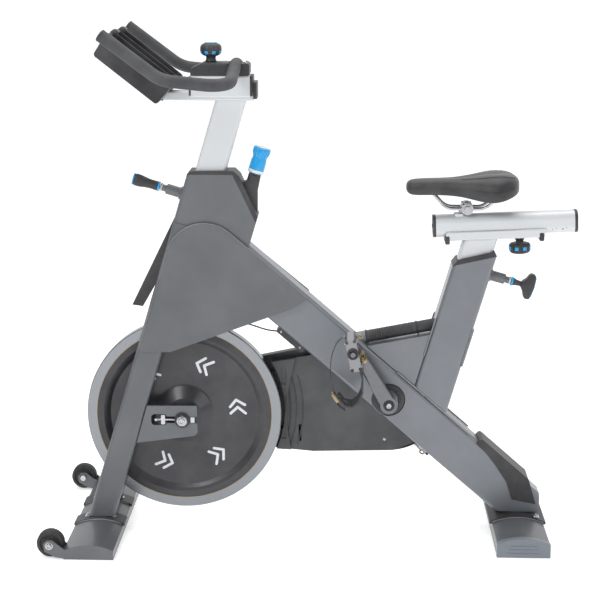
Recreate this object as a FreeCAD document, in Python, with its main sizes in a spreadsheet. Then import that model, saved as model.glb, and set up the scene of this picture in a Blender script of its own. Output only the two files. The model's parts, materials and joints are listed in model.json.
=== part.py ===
import FreeCAD, Part
import math
import os
import re
import Sketcher

# An indoor cycling bike. Millimetres, +Z up, floor at Z = 0. The front of the
# bike (flywheel and handlebar) is at -X, its left side at -Y and the belt
# drive on its right side at +Y. The origin is the middle of the footprint.

Vector = FreeCAD.Vector

SIZES = {
    # driving positions
    "axle_x": -304.0,
    "axle_height": 285.0,
    "crank_x": 198.0,
    "crank_height": 334.0,
    "head_lean": 16.4,
    "beam_slope": 40.8,
    "seat_lean": 15.8,
    # frame tubes
    "frame_width": 66.0,
    "beam_top": 66.0,
    "beam_bottom": 40.0,
    "beam_foot": 500.0,
    "beam_end": 574.0,
    "tube_round": 10.0,
    "tube_wall": 3.0,
    "head_front": 154.5,
    "head_rear": 35.5,
    "head_low": 330.0,
    "head_high": 578.0,
    "head_shoulder": 50.0,
    "head_slope_low": 514.0,
    "leg_depth": 62.0,
    "leg_thickness": 30.0,
    "leg_splay": 3.43,
    "leg_pivot": 500.0,
    "leg_top": -40.0,
    "panel_thickness": 4.0,
    "panel_rim": 9.0,
    "panel_apex_round": 92.0,
    "seat_tube_front": 51.0,
    "seat_tube_depth": 95.0,
    "seat_tube_low": 362.0,
    "seat_tube_high": 414.0,
    "post_width": 48.0,
    "post_depth": 70.0,
    "post_front": 138.0,
    "post_wall": 4.0,
    "post_round": 9.0,
    "post_clearance": 1.5,
    "post_insert": 170.0,
    "seat_post_depth": 76.0,
    "seat_post_front": 59.5,
    "guide_clearance": 0.5,
    # flywheel and axle
    "flywheel_radius": 240.0,
    "flywheel_width": 30.0,
    "rim_depth": 24.0,
    "disc_step": 183.0,
    "disc_recess": 7.0,
    "dome_radius": 75.0,
    "dome_height": 20.0,
    "axle_radius": 8.0,
    "running_gap": 0.05,
    "dropout_outer": 62.0,
    "dropout_thickness": 6.0,
    # belt drive
    "belt_plane": 45.0,
    "belt_width": 12.0,
    "belt_thickness": 3.0,
    "belt_gap": 0.4,
    "small_pulley": 30.0,
    "large_pulley": 120.0,
    "guard_inner": 36.0,
    "guard_wall": 2.5,
    "guard_outer": 55.5,
    "guard_radius": 152.0,
    "guard_nose": 96.0,
    "guard_clearance": 7.0,
    # cranks and pedals
    "shell_radius": 41.0,
    "spindle_radius": 10.0,
    "crank_length": 175.0,
    "crank_angle": 120.3,
    "crank_inner": 68.0,
    "crank_thickness": 15.0,
    "pedal_axle_radius": 6.0,
    "pedal_width": 84.0,
    "pedal_length": 78.0,
    "pedal_front": 44.0,
    "pedal_thickness": 26.0,
    # feet
    "front_foot_x": -509.0,
    "front_foot_width": 118.0,
    "front_foot_half": 256.0,
    "foot_side": 22.0,
    "foot_rise": 14.0,
    "rear_foot_x": 519.0,
    "rear_foot_width": 125.0,
    "rear_foot_half": 192.0,
    "rear_foot_side": 32.0,
    "cap_length": 16.0,
    "saddle_plate": 4.0,
    "wheel_radius": 32.0,
    "wheel_lift": 1.0,
    "wheel_x": -601.0,
    "wheel_y": 236.0,
    "wheel_width": 26.0,
    "wheel_axle_radius": 5.0,
    # handlebar assembly
    "rail_low": 1058.0,
    "rail_height": 20.0,
    "rail_half_width": 28.0,
    "rail_front_x": -342.0,
    "rail_rear_x": -130.0,
    "bar_slider_front": -277.0,
    "bar_slider_rear": -137.0,
    "bar_slider_high": 1117.0,
    "bar_slider_wall": 5.0,
    "bar_half_span": 219.0,
    "bar_radius": 14.5,
    "bar_bend": 55.0,
    "bar_sweep": 88.0,
    "bar_crown": 240.0,
    "cover_height": 30.0,
    "bar_sag": 12.0,
    "bar_drop": 26.0,
    "bar_rise": 14.0,
    # seat assembly
    "seat_rail_x": 306.0,
    "seat_rail_length": 329.4,
    "seat_rail_z": 734.0,
    "seat_rail_slope": 2.75,
    "seat_rail_height": 52.0,
    "seat_rail_width": 50.0,
    "saddle_length": 268.0,
    "saddle_width": 176.0,
    "saddle_x": 232.0,
    # brake
    "rod_radius": 6.0,
    "pad_gap": 4.0,
    "yoke_gap": 3.5,
    "knob_low": 625.0,
    "knob_high": 688.0,
    "knob_radius": 19.5,
    "beam_reach": 520.0,
    "yoke_place": 40.0,
    "yoke_stem": 5.0,
    "plunger_height": 526.5,
    "seat_plunger_height": 361.0,
    "pin_radius": 5.0,
    "handle_x": 134.0,
    "handle_height": 483.5,
    "handle_radius": 14.5,
    "handle_length": 164.0,
    "handle_slope": 11.2,
    "horn_radius": 14.5,
    "cap_band": 10.0,
    "tray_half_width": 118.0,
    "tray_wall": 3.0,
    "panel_front_low": -368.0,
    "panel_apex": 30.0,
    "panel_rear_high_x": 208.3,
    "panel_rear_high": -123.9,
    "panel_rear_low_x": 177.8,
    "panel_rear_low": -159.4,
    "panel_bend_x": -74.6,
    "panel_bend": -346.0,
    "plunger_bore": 5.1,
    "plunger_reach": 122.0,
    "pin_travel": 7.0,
    "index_pitch": 25.0,
    "post_top": 790.0,
    "bar_cross_x": -172.0,
    "bar_tip_x": -455.0,
    "bar_tip_z": 1217.0,
    "bar_bend_x": -324.0,
    "tray_x": -347.0,
    "tray_z": 1056.0,
    "tray_tilt": 38.0,
    "tray_length": 182.0,
    "tray_depth": 62.0,
    "tray_lip": 2.0,
    "bar_knob_x": -231.0,
    "seat_knob_x": 200.0,
    "saddle_clamp_x": 378.0,
    "saddle_clamp_z": 805.0,
    "saddle_foot_x": 56.0,
    "clamp_pin": 9.0,
    "saddle_base": 832.0,
    "sensor_x": -316.0,
    "cable_radius": 1.8,
}

doc = FreeCAD.newDocument("exercise_bike")
sheet = doc.addObject("Spreadsheet::Sheet", "Sizes")
for row, (alias, number) in enumerate(SIZES.items(), start=1):
    sheet.set("A%d" % row, alias)
    sheet.set("B%d" % row, str(number))
    sheet.setAlias("B%d" % row, alias)
doc.recompute()

nodes = {}
HALF = "frame_width/2"
ROTATIONS = {
    "z": ("0;0;1", "0"),
    "y": ("1;0;0", "-90"),
    "-y": ("1;0;0", "90"),
    "x": ("0;1;0", "90"),
    "-x": ("0;1;0", "-90"),
    "-z": ("1;0;0", "180"),
}
PLANES = {"x": "YZ_Plane", "y": "XZ_Plane", "z": "XY_Plane"}
DIRECTIONS = {"x": Vector(1, 0, 0), "y": Vector(0, 1, 0), "z": Vector(0, 0, 1)}


def bound(text):
    """An expression with each size's name pointing at its cell."""
    return re.sub(r"[a-z][a-z_]*[a-z]", lambda m: cell_name(m.group(0)), text)


def cell_name(word):
    return "Sizes." + word if word in SIZES else word


def size(name):
    """The number in a size's cell."""
    return float(getattr(sheet, name))


def placement(x, y, z, axis="0;0;1", angle="0"):
    return (
        "create(<<placement>>; create(<<vector>>; %s; %s; %s); "
        "create(<<rotation>>; create(<<vector>>; %s); %s))"
    ) % (bound(x), bound(y), bound(z), axis, bound(angle))


def frame(name, x, y, z, axis, angle, parent=None):
    """A named place that parts are laid out in."""
    holder = doc.addObject("App::Placement", name)
    text = placement(x, y, z, axis, angle)
    if parent:
        text = parent + ".Placement * " + text
    holder.setExpression("Placement", text)
    return name


def put(item, where, x="0", y="0", z="0", axis="0;0;1", angle="0"):
    text = placement(x, y, z, axis, angle)
    if where:
        text = where + ".Placement * " + text
    item.setExpression("Placement", text)


def finish(label, item):
    """Names an object as the finished sub-part of that label."""
    item.Label = label
    nodes[label] = item
    return item


def polygon(body, plane, outline):
    """A closed sketch whose corners are tied to expressions."""
    sketch = body.newObject("Sketcher::SketchObject", body.Name + "_outline")
    support = [f for f in body.Origin.OriginFeatures if f.Role == plane][0]
    sketch.AttachmentSupport = [(support, "")]
    sketch.MapMode = "FlatFace"
    count = len(outline)
    turn = 2 * math.pi / count
    corners = [Vector(math.cos(i * turn), math.sin(i * turn), 0) for i in range(count)]
    for i in range(count):
        sketch.addGeometry(Part.LineSegment(corners[i], corners[(i + 1) % count]), False)
    for i in range(count):
        sketch.addConstraint(Sketcher.Constraint("Coincident", i, 2, (i + 1) % count, 1))
    for i, (across, up) in enumerate(outline):
        for kind, text in (("DistanceX", across), ("DistanceY", up)):
            index = sketch.addConstraint(Sketcher.Constraint(kind, -1, 1, i, 1, 1.0))
            sketch.setExpression("Constraints[%d]" % index, bound(text))
    return sketch


def prism(name, where, outline, low, high, along="y"):
    """An outline, padded along one axis between two places."""
    body = doc.addObject("PartDesign::Body", name)
    sketch = polygon(body, PLANES[along], outline)
    pad = body.newObject("PartDesign::Pad", name + "_pad")
    pad.Profile = sketch
    pad.SideType = "Symmetric"
    pad.setExpression("Length", bound("(%s)-(%s)" % (high, low)))
    middle = "((%s)+(%s))/2" % (low, high)
    shift = {axis: middle if axis == along else "0" for axis in "xyz"}
    put(body, where, shift["x"], shift["y"], shift["z"])
    return body


def block(name, where, x, y, z, along="z", corner=None):
    """A straight bar between three pairs of limits, its long edges rounded."""
    spans = {"x": x, "y": y, "z": z}
    across, up = [axis for axis in "xyz" if axis != along]
    (a, b), (c, d) = spans[across], spans[up]
    outline = [(a, c), (b, c), (b, d), (a, d)]
    body = prism(name, where, outline, spans[along][0], spans[along][1], along)
    if corner:
        round_edges(body, corner, parallel(DIRECTIONS[along]))
    return body


def parallel(direction):
    """Chooses straight edges along a direction."""
    def wanted(edge):
        if edge.Curve.TypeId != "Part::GeomLine":
            return False
        return edge.Curve.Direction.cross(direction).Length < 1e-4
    return wanted


def round_edges(body, radius, wanted, kind="Fillet"):
    """Fillets or chamfers the chosen edges of a body."""
    doc.recompute()
    tip = body.Tip
    names = ["Edge%d" % (i + 1) for i, edge in enumerate(tip.Shape.Edges) if wanted(edge)]
    rounding = body.newObject("PartDesign::" + kind, body.Name + "_" + kind.lower())
    rounding.Base = (tip, names)
    field = "Radius" if kind == "Fillet" else "Size"
    rounding.setExpression(field, bound(radius))
    body.Tip = rounding
    return body


def turned(name, where, outline, x="0", y="0", z="0", axis="z"):
    """A profile of (radius, height) corners spun about its own axis."""
    body = doc.addObject("PartDesign::Body", name)
    sketch = polygon(body, "XZ_Plane", outline)
    spin = body.newObject("PartDesign::Revolution", name + "_spin")
    spin.Profile = sketch
    spin.ReferenceAxis = (sketch, ["V_Axis"])
    spin.Angle = 360
    turn, angle = ROTATIONS[axis]
    put(body, where, x, y, z, turn, angle)
    return body


def cylinder(name, where, x, y, z, radius, length, axis="z"):
    item = doc.addObject("Part::Cylinder", name)
    item.setExpression("Radius", bound(radius))
    item.setExpression("Height", bound(length))
    turn, angle = ROTATIONS[axis]
    put(item, where, x, y, z, turn, angle)
    return item


def cut(name, base, *tools):
    """A base with each tool taken out of it in turn."""
    for count, tool in enumerate(tools):
        step = doc.addObject("Part::Cut", "%s_cut%d" % (name, count))
        step.Base = base
        step.Tool = tool
        base = step
    return base


def fuse(name, *items):
    whole = doc.addObject("Part::MultiFuse", name + "_fuse")
    whole.Shapes = list(items)
    return whole


def common(name, first, second):
    shared = doc.addObject("Part::Common", name + "_common")
    shared.Base = first
    shared.Tool = second
    return shared


def group(name, *items):
    """Several solids that stay apart in one sub-part."""
    whole = doc.addObject("Part::Compound", name + "_group")
    whole.Links = list(items)
    return whole


def feature(name, shape):
    item = doc.addObject("Part::Feature", name)
    item.Shape = shape
    return item


SIDES = (("Left", "-"), ("Right", ""))


def make_frames():
    frame("HeadFrame", "axle_x", "0", "axle_height", "0;1;0", "head_lean")
    frame("BeamFrame", "crank_x", "0", "crank_height", "0;1;0", "beam_slope")
    frame("SeatFrame", "crank_x", "0", "crank_height", "0;1;0", "seat_lean")
    frame("RailFrame", "seat_rail_x", "0", "seat_rail_z", "0;1;0", "0-seat_rail_slope")
    for side, sign in SIDES:
        frame("Leg" + side, "0", sign + HALF, "leg_pivot", "1;0;0",
              sign + "leg_splay", "HeadFrame")


def make_main_frame():
    """The head, the diagonal beam and the seat column, each trimmed to the next."""
    head = prism("head", "HeadFrame", [
        ("0-head_front", "head_low"),
        ("0-head_front", "head_high"),
        ("0-head_shoulder", "head_high+(head_front-head_shoulder)*tan(head_lean)"),
        ("head_rear", "head_slope_low"),
        ("head_rear", "head_low"),
    ], "0-" + HALF, HALF)
    round_edges(head, "tube_round", lambda e: not parallel(DIRECTIONS["y"])(e)
                and e.CenterOfMass.x < -size("head_front") + 1)
    post_hole = block("post_hole", "HeadFrame",
                      ("0-post_front-post_clearance", "post_depth-post_front+post_clearance"),
                      ("0-post_width/2-post_clearance", "post_width/2+post_clearance"),
                      ("head_low+30", "head_high+80"))
    rod_hole = cylinder("rod_hole", "HeadFrame", "0", "0", "head_low-1",
                        "rod_radius+1.5", "head_high-head_low+80")
    yoke_hole = cylinder("yoke_hole", "HeadFrame", "0-yoke_place", "0", "head_low-1",
                         "yoke_stem+1", "30")
    pin_hole = cylinder("pin_hole", "HeadFrame", "0-head_front-1", "0", "plunger_height",
                        "pin_radius+1", "30", "x")
    finish("head_column", cut("head_column", head, post_hole, rod_hole, yoke_hole, pin_hole))

    beam = block("beam", "BeamFrame", ("0-beam_reach", "beam_foot"),
                 ("0-" + HALF, HALF), ("0-beam_bottom", "beam_top"), "x", "tube_round")
    shell_hole = cylinder("shell_hole", None, "crank_x", "0-frame_width", "crank_height",
                          "shell_radius", "2*frame_width", "y")
    inside = block("beam_inside", "BeamFrame", ("shell_radius+tube_wall", "beam_foot-60"),
                   ("tube_wall-" + HALF, HALF + "-tube_wall"),
                   ("tube_wall-beam_bottom", "beam_top-tube_wall"), "x")
    below = block("below_beam", None, ("0", "2*rear_foot_x"), ("-200", "200"),
                  ("-400", "rear_foot_side+foot_rise+saddle_plate"))
    behind = block("behind_beam", None, ("beam_end", "beam_end+200"), ("-200", "200"),
                   ("0", "2*crank_height"))
    finish("main_beam", cut("main_beam", beam, head, shell_hole, below, inside, behind))

    column = prism("column", "SeatFrame", [
        ("seat_tube_front", "0-beam_bottom"),
        ("seat_tube_front", "seat_tube_low"),
        ("seat_tube_front+seat_tube_depth", "seat_tube_high"),
        ("seat_tube_front+seat_tube_depth", "0-beam_bottom"),
    ], "0-" + HALF, HALF)
    round_edges(column, "tube_round", parallel(DIRECTIONS["z"]))
    bore = block("column_bore", "SeatFrame",
                 ("seat_post_front-post_clearance",
                  "seat_post_front+seat_post_depth+post_clearance"),
                 ("0-post_width/2-post_clearance", "post_width/2+post_clearance"),
                 ("seat_tube_low-post_insert-60", "seat_tube_high+40"))
    pin_way = cylinder("seat_pin_hole", "SeatFrame", "seat_tube_front+seat_tube_depth+1", "0",
                       "seat_plunger_height", "pin_radius+1", "30", "-x")
    beam_solid = block("beam_solid", "BeamFrame", ("0-beam_reach", "beam_foot"),
                       ("0-" + HALF, HALF), ("0-beam_bottom", "beam_top"), "x")
    finish("seat_column", cut("seat_column", column, beam_solid, bore, pin_way))

    gusset = prism("gusset", None, [
        ("handle_x+6", "handle_height-handle_radius-2"),
        ("handle_x+handle_length+10",
         "handle_height-handle_radius-2+(handle_length+4)*tan(handle_slope)"),
        ("crank_x+140", "crank_height+30"),
        ("crank_x+20", "crank_height+30"),
    ], "3-" + HALF, HALF + "-3")
    column_solid = block("column_solid", "SeatFrame",
                         ("seat_tube_front", "seat_tube_front+seat_tube_depth"),
                         ("0-" + HALF, HALF), ("-100", "seat_tube_high"))
    finish("seat_gusset", cut("seat_gusset", gusset, beam_solid, column_solid))

    grip = cylinder("grip", None, "handle_x-40*cos(handle_slope)", "0",
                    "handle_height-40*sin(handle_slope)",
                    "handle_radius", "handle_length+80", "x")
    put(grip, None, "handle_x-40*cos(handle_slope)", "0",
        "handle_height-40*sin(handle_slope)", "0;1;0", "90-handle_slope")
    finish("carry_handle", cut("carry_handle", grip, beam_solid, column_solid))
    return head, beam_solid



def make_legs(head):
    """Two splayed fork legs that run up the head's sides."""
    floor = block("leg_floor", None, ("axle_x-600", "axle_x+600"), ("-300", "300"),
                  ("-500", "foot_side+foot_rise+saddle_plate"))
    for side, sign in SIDES:
        inward = ("0", "leg_thickness") if side == "Left" else ("-leg_thickness", "0")
        leg = block("leg" + side, "Leg" + side,
                    ("0-head_front", "leg_depth-head_front"), inward,
                    ("0-leg_pivot-axle_height-60", "leg_top"), "z", "tube_round")
        width = ("tube_wall", "leg_thickness-tube_wall")
        if side == "Right":
            width = ("tube_wall-leg_thickness", "0-tube_wall")
        inside = block("leg_inside" + side, "Leg" + side,
                       ("tube_wall-head_front", "leg_depth-head_front-tube_wall"), width,
                       ("0-leg_pivot-axle_height+30", "head_low-leg_pivot-30"))
        finish("leg_" + side.lower(), cut("leg_" + side.lower(), leg, head, floor, inside))


def make_panels(head, beam_solid):
    """Rimmed side panels that lie on the legs and close the head and beam joint."""
    outline = [
        ("6-head_front", "panel_front_low"),
        ("6-head_front", "panel_apex"),
        ("panel_rear_high_x", "panel_rear_high"),
        ("panel_rear_low_x", "panel_rear_low"),
        ("panel_bend_x", "panel_bend"),
    ]
    inner = [
        ("6-head_front-20", "panel_front_low-40"),
        ("6-head_front-20", "panel_apex-2*panel_rim"),
        ("panel_rear_high_x-3*panel_rim", "panel_rear_high-panel_rim/2"),
        ("panel_rear_low_x-panel_rim", "panel_rear_low+panel_rim/3"),
        ("panel_bend_x-panel_rim/3", "panel_bend+panel_rim*0.6"),
        ("panel_bend_x-80", "panel_front_low-40"),
    ]
    for side, sign in SIDES:
        if side == "Left":
            outer_span, inner_span = ("0-panel_thickness", "panel_rim"), ("0", "panel_rim+1")
        else:
            outer_span, inner_span = ("0-panel_rim", "panel_thickness"), ("0-panel_rim-1", "0")
        plate = prism("panel" + side, "Leg" + side, outline, outer_span[0], outer_span[1])
        round_edges(plate, "panel_apex_round", near_corner("panel_apex", -size("head_front") + 6))
        hollow = prism("panel_hollow" + side, "Leg" + side, inner, inner_span[0], inner_span[1])
        leg = block("leg_solid" + side, "Leg" + side,
                    ("0-head_front", "leg_depth-head_front"),
                    ("0", "leg_thickness") if side == "Left" else ("-leg_thickness", "0"),
                    ("0-leg_pivot-axle_height-60", "0"))
        label = "side_panel_" + side.lower()
        finish(label, cut(label, plate, hollow, head, leg, beam_solid))


def near_corner(height, across):
    """Chooses the edge across the plate at one corner of its outline."""
    level = size(height)

    def wanted(edge):
        middle = edge.CenterOfMass
        return abs(middle.x - across) < 1 and abs(middle.z - level) < 1
    return wanted


def make_feet():
    """Arched floor tubes, their saddle plates, end plates and end caps."""
    front = foot("front_tube", "front_foot_x", "front_foot_width", "0-front_foot_half",
                 "front_foot_half", "foot_side")
    finish("front_stabiliser", front)
    rear = foot("rear_tube", "rear_foot_x", "rear_foot_width", "0-rear_foot_half",
                "rear_foot_half", "rear_foot_side")
    finish("rear_stabiliser", rear)
    caps = [
        foot("cap_left", "rear_foot_x", "rear_foot_width+2", "0-rear_foot_half-cap_length",
             "0-rear_foot_half", "rear_foot_side+1"),
        foot("cap_right", "rear_foot_x", "rear_foot_width+2", "rear_foot_half",
             "rear_foot_half+cap_length", "rear_foot_side+1"),
    ]
    finish("rear_end_caps", group("rear_end_caps", *caps))
    plates = []
    for name, low, high in (("plate_left", "-92", "-42"), ("plate_right", "42", "92")):
        plates.append(arch_plate(name, "front_foot_x", "front_foot_width+6", low, high,
                                 "foot_side", front))
    plates.append(arch_plate("plate_rear", "rear_foot_x", "rear_foot_width+12", "-66", "66",
                             "rear_foot_side", rear))
    finish("stabiliser_saddles", group("stabiliser_saddles", *plates))
    return front


def foot(name, x, width, low, high, side):
    """A tube with a flat base, upright sides and an arched top."""
    half = "(%s)/2" % width
    bar = block(name + "_bar", None, (x + "-" + half, x + "+" + half), (low, high),
                ("0", side + "+foot_rise"), "y")
    radius = "((%s)^2+foot_rise^2)/(2*foot_rise)" % half
    arch = cylinder(name + "_arch", None, x, "(%s)-1" % low,
                    "%s+foot_rise-(%s)" % (side, radius), radius,
                    "(%s)-(%s)+2" % (high, low), "y")
    return common(name, bar, arch)


def arch_plate(name, x, width, low, high, side, tube):
    half = "(%s)/2" % width
    bar = block(name + "_bar", None, (x + "-" + half, x + "+" + half), (low, high),
                (side + "-2", side + "+foot_rise+saddle_plate"), "y")
    radius = "((%s)^2+foot_rise^2)/(2*foot_rise)" % half
    arch = cylinder(name + "_arch", None, x, "(%s)-1" % low,
                    "%s+foot_rise+saddle_plate-(%s)" % (side, radius), radius,
                    "(%s)-(%s)+2" % (high, low), "y")
    return cut(name, common(name, bar, arch), tube)


def make_wheels(front):
    """Transport wheels between two arms at each end of the front foot."""
    arms = []
    height = "wheel_radius+wheel_lift"
    for side, sign in SIDES:
        outer = ("front_foot_half", "front_foot_half+4")
        inner = ("wheel_y-wheel_width/2-6", "wheel_y-wheel_width/2-2")
        if side == "Left":
            outer = ("0-front_foot_half-4", "0-front_foot_half")
            inner = ("0-wheel_y+wheel_width/2+2", "0-wheel_y+wheel_width/2+6")
        shape = [
            ("wheel_x-12", height + "-14"),
            ("wheel_x-14", height + "+4"),
            ("wheel_x-6", height + "+13"),
            ("wheel_x+8", height + "+13"),
            ("front_foot_x-front_foot_width/2+2", "foot_side+2"),
            ("front_foot_x-front_foot_width/2+2", "2"),
            ("wheel_x+14", "5"),
        ]
        face = foot("end_face" + side, "front_foot_x", "front_foot_width", outer[0], outer[1],
                    "foot_side")
        arm_outer = prism("arm_outer" + side, None, shape, outer[0], outer[1])
        arm_inner = prism("arm_inner" + side, None, shape, inner[0], inner[1])
        pin_low = inner[0] if side == "Right" else outer[0]
        pin = cylinder("wheel_pin" + side, None, "wheel_x", "(%s)-3" % pin_low, height,
                       "wheel_axle_radius", "front_foot_half+10-wheel_y+wheel_width/2+6", "y")
        whole = fuse("bracket" + side, face, arm_outer, arm_inner, pin)
        arms.append(cut("bracket" + side, whole, front))
        wheel = turned("wheel" + side, None, [
            ("wheel_axle_radius+running_gap", "0-wheel_width/2"),
            ("wheel_radius-14", "0-wheel_width/2"),
            ("wheel_radius-13", "3-wheel_width/2"),
            ("wheel_radius-9", "3-wheel_width/2"),
            ("wheel_radius-8", "0-wheel_width/2"),
            ("wheel_radius-3", "0-wheel_width/2"),
            ("wheel_radius", "3-wheel_width/2"),
            ("wheel_radius", "wheel_width/2-3"),
            ("wheel_radius-3", "wheel_width/2"),
            ("wheel_radius-8", "wheel_width/2"),
            ("wheel_radius-9", "wheel_width/2-3"),
            ("wheel_radius-13", "wheel_width/2-3"),
            ("wheel_radius-14", "wheel_width/2"),
            ("wheel_axle_radius+running_gap", "wheel_width/2"),
        ], "wheel_x", sign + "wheel_y", height, "y")
        finish("wheel_" + side.lower(), wheel)
    finish("wheel_brackets", group("wheel_brackets", *arms))


def make_head_trim(head):
    """The black cap with its knob horn, the mudguard and the plunger bosses."""
    top = "head_high+(head_front-head_shoulder)*tan(head_lean)"
    band = prism("cap_band_body", "HeadFrame", [
        ("0-head_front", "head_high"),
        ("4-head_front", "head_high+cap_band"),
        ("0-head_shoulder", top + "+cap_band"),
        ("16-head_shoulder", top + "+cap_band-8"),
        ("head_rear", "head_slope_low+cap_band+6"),
        ("head_rear", "head_slope_low"),
        ("0-head_shoulder", top),
    ], "0-" + HALF, HALF)
    horn = prism("horn_web", "HeadFrame", [
        ("0-horn_radius-12", "head_slope_low+80"),
        ("0-horn_radius", "head_slope_low+88"),
        ("0-horn_radius", "knob_low-4"),
        ("horn_radius", "knob_low-4"),
        ("horn_radius+3", "knob_low-40"),
        ("head_rear", "head_slope_low+cap_band"),
        ("0", "head_slope_low+40"),
    ], "0-horn_radius", "horn_radius")
    round_edges(horn, "horn_radius/2", parallel(DIRECTIONS["z"]))
    post_way = block("cap_post_hole", "HeadFrame",
                     ("0-post_front-guide_clearance", "post_depth-post_front+guide_clearance"),
                     ("0-post_width/2-guide_clearance", "post_width/2+guide_clearance"),
                     ("head_high-60", "head_high+120"))
    rod_way = cylinder("cap_rod_hole", "HeadFrame", "0", "0", "head_slope_low-20",
                       "rod_radius+0.5", "200")
    whole = fuse("column_cap", band, horn)
    finish("column_cap", cut("column_cap", whole, head, post_way, rod_way))

    guard = prism("mudguard_body", "HeadFrame", [
        ("0-head_front", "470"),
        ("0-head_front-41", "233"),
        ("0-head_front-15", "237"),
        ("0-head_front", "300"),
    ], "-24", "24")
    inside = prism("mudguard_hollow", "HeadFrame", [
        ("0-head_front+1", "440"),
        ("0-head_front-37", "230"),
        ("0-head_front+1", "225"),
    ], "-21", "21")
    finish("mudguard", cut("mudguard", guard, inside))

    profile = [
        ("plunger_bore", "0"), ("16", "0"), ("16", "4"), ("12.5", "7"), ("12.5", "38"),
        ("8", "40"), ("8", "48"), ("plunger_bore", "48"),
    ]
    bosses = [
        turned("front_boss", "HeadFrame", profile, "0-head_front", "0", "plunger_height", "-x"),
        turned("rear_boss", "SeatFrame", profile, "seat_tube_front+seat_tube_depth", "0",
               "seat_plunger_height", "x"),
    ]
    finish("plunger_bosses", group("plunger_bosses", *bosses))


def make_seat_trim(beam_solid):
    """The slanted collar of the seat column and the cover on the beam's foot."""
    outline = [
        ("seat_tube_front", "seat_tube_low"),
        ("seat_post_front-2", "seat_tube_low+16"),
        ("seat_post_front+seat_post_depth+2", "seat_tube_high+9"),
        ("seat_tube_front+seat_tube_depth", "seat_tube_high"),
    ]
    collar = prism("collar", "SeatFrame", outline, "0-" + HALF, HALF)
    way = block("collar_hole", "SeatFrame",
                ("seat_post_front-guide_clearance",
                 "seat_post_front+seat_post_depth+guide_clearance"),
                ("0-post_width/2-guide_clearance", "post_width/2+guide_clearance"),
                ("seat_tube_low-40", "seat_tube_high+60"))
    finish("seat_collar", cut("seat_collar", collar, way))

    cover = prism("cover", "BeamFrame", [
        ("236", "60"), ("236", "beam_top+12"), ("393", "beam_top+11"), ("450", "41"),
        ("397", "11"), ("358", "35"), ("305", "50"), ("270", "57"),
    ], "0-" + HALF + "-3", HALF + "+3")
    round_edges(cover, "8", lambda e: parallel(DIRECTIONS["y"])(e) and e.CenterOfMass.z > 70)
    foot_way = block("cover_floor", None, ("0", "2*rear_foot_x"), ("-200", "200"),
                     ("-400", "rear_foot_side+foot_rise+saddle_plate+0.5"))
    finish("rear_cover", cut("rear_cover", cover, beam_solid, foot_way))


def make_flywheel():
    """A chromed rim around a black disc with a hub dome, on a fixed axle."""
    half = "flywheel_width/2"
    rim = turned("rim", None, [
        ("flywheel_radius-rim_depth", "0-" + half),
        ("flywheel_radius-2", "0-" + half),
        ("flywheel_radius", "2-" + half),
        ("flywheel_radius", half + "-2"),
        ("flywheel_radius-2", half),
        ("flywheel_radius-rim_depth", half),
    ], "axle_x", "0", "axle_height", "y")
    finish("flywheel_rim", rim)
    bore = "axle_radius+running_gap"
    disc = turned("disc", None, [
        (bore, "0-" + half + "-dome_height"),
        ("20", "0-" + half + "-dome_height"),
        ("44", "0-" + half + "-dome_height+6"),
        ("dome_radius-4", "disc_recess-" + half + "-1.5"),
        ("dome_radius", "disc_recess-" + half),
        ("disc_step", "disc_recess-" + half),
        ("disc_step+9", "2-" + half),
        ("disc_step+16", "0-" + half + "-1"),
        ("flywheel_radius-rim_depth", "0-" + half + "+1"),
        ("flywheel_radius-rim_depth", half + "-1"),
        ("disc_step+16", half + "+1"),
        ("disc_step+9", half + "-2"),
        ("disc_step", half + "-disc_recess"),
        ("32", half + "-disc_recess"),
        ("28", "belt_plane-belt_width/2-3"),
        (bore, "belt_plane-belt_width/2-3"),
    ], "axle_x", "0", "axle_height", "y")
    finish("flywheel_disc", disc)
    pulley = turned("small_pulley_body", None, pulley_outline("small_pulley", bore),
                    "axle_x", "belt_plane", "axle_height", "y")
    finish("flywheel_pulley", pulley)
    axle = cylinder("axle_bar", None, "axle_x", "0-dropout_outer-12", "axle_height",
                    "axle_radius", "2*(dropout_outer+12)", "y")
    hardware = [axle]
    for side, sign in SIDES:
        low = "dropout_outer" if side == "Right" else "0-dropout_outer-10"
        washer_low = "dropout_outer" if side == "Right" else "0-dropout_outer-2"
        hardware.append(cylinder("axle_nut" + side, None, "axle_x", low, "axle_height",
                                 "13", "10", "y"))
        hardware.append(cylinder("axle_washer" + side, None, "axle_x", washer_low,
                                 "axle_height", "16.5", "2", "y"))
        spacer_low = ("belt_plane+belt_width/2+1.5" if side == "Right"
                      else "0-dropout_outer+dropout_thickness")
        spacer_high = ("dropout_outer-dropout_thickness" if side == "Right"
                       else "0-" + half + "-dome_height-1")
        hardware.append(cylinder("axle_spacer" + side, None, "axle_x", spacer_low,
                                 "axle_height", "13", "(%s)-(%s)" % (spacer_high, spacer_low),
                                 "y"))
    return fuse("flywheel_axle", *hardware)


def pulley_outline(radius, bore):
    half = "belt_width/2"
    return [
        (bore, "0-" + half + "-1.5"),
        (radius + "+2.5", "0-" + half + "-1.5"),
        (radius + "+2.5", "0-" + half + "-0.6"),
        (radius, "0-" + half + "-0.4"),
        (radius, half + "+0.4"),
        (radius + "+2.5", half + "+0.6"),
        (radius + "+2.5", half + "+1.5"),
        (bore, half + "+1.5"),
    ]


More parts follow.
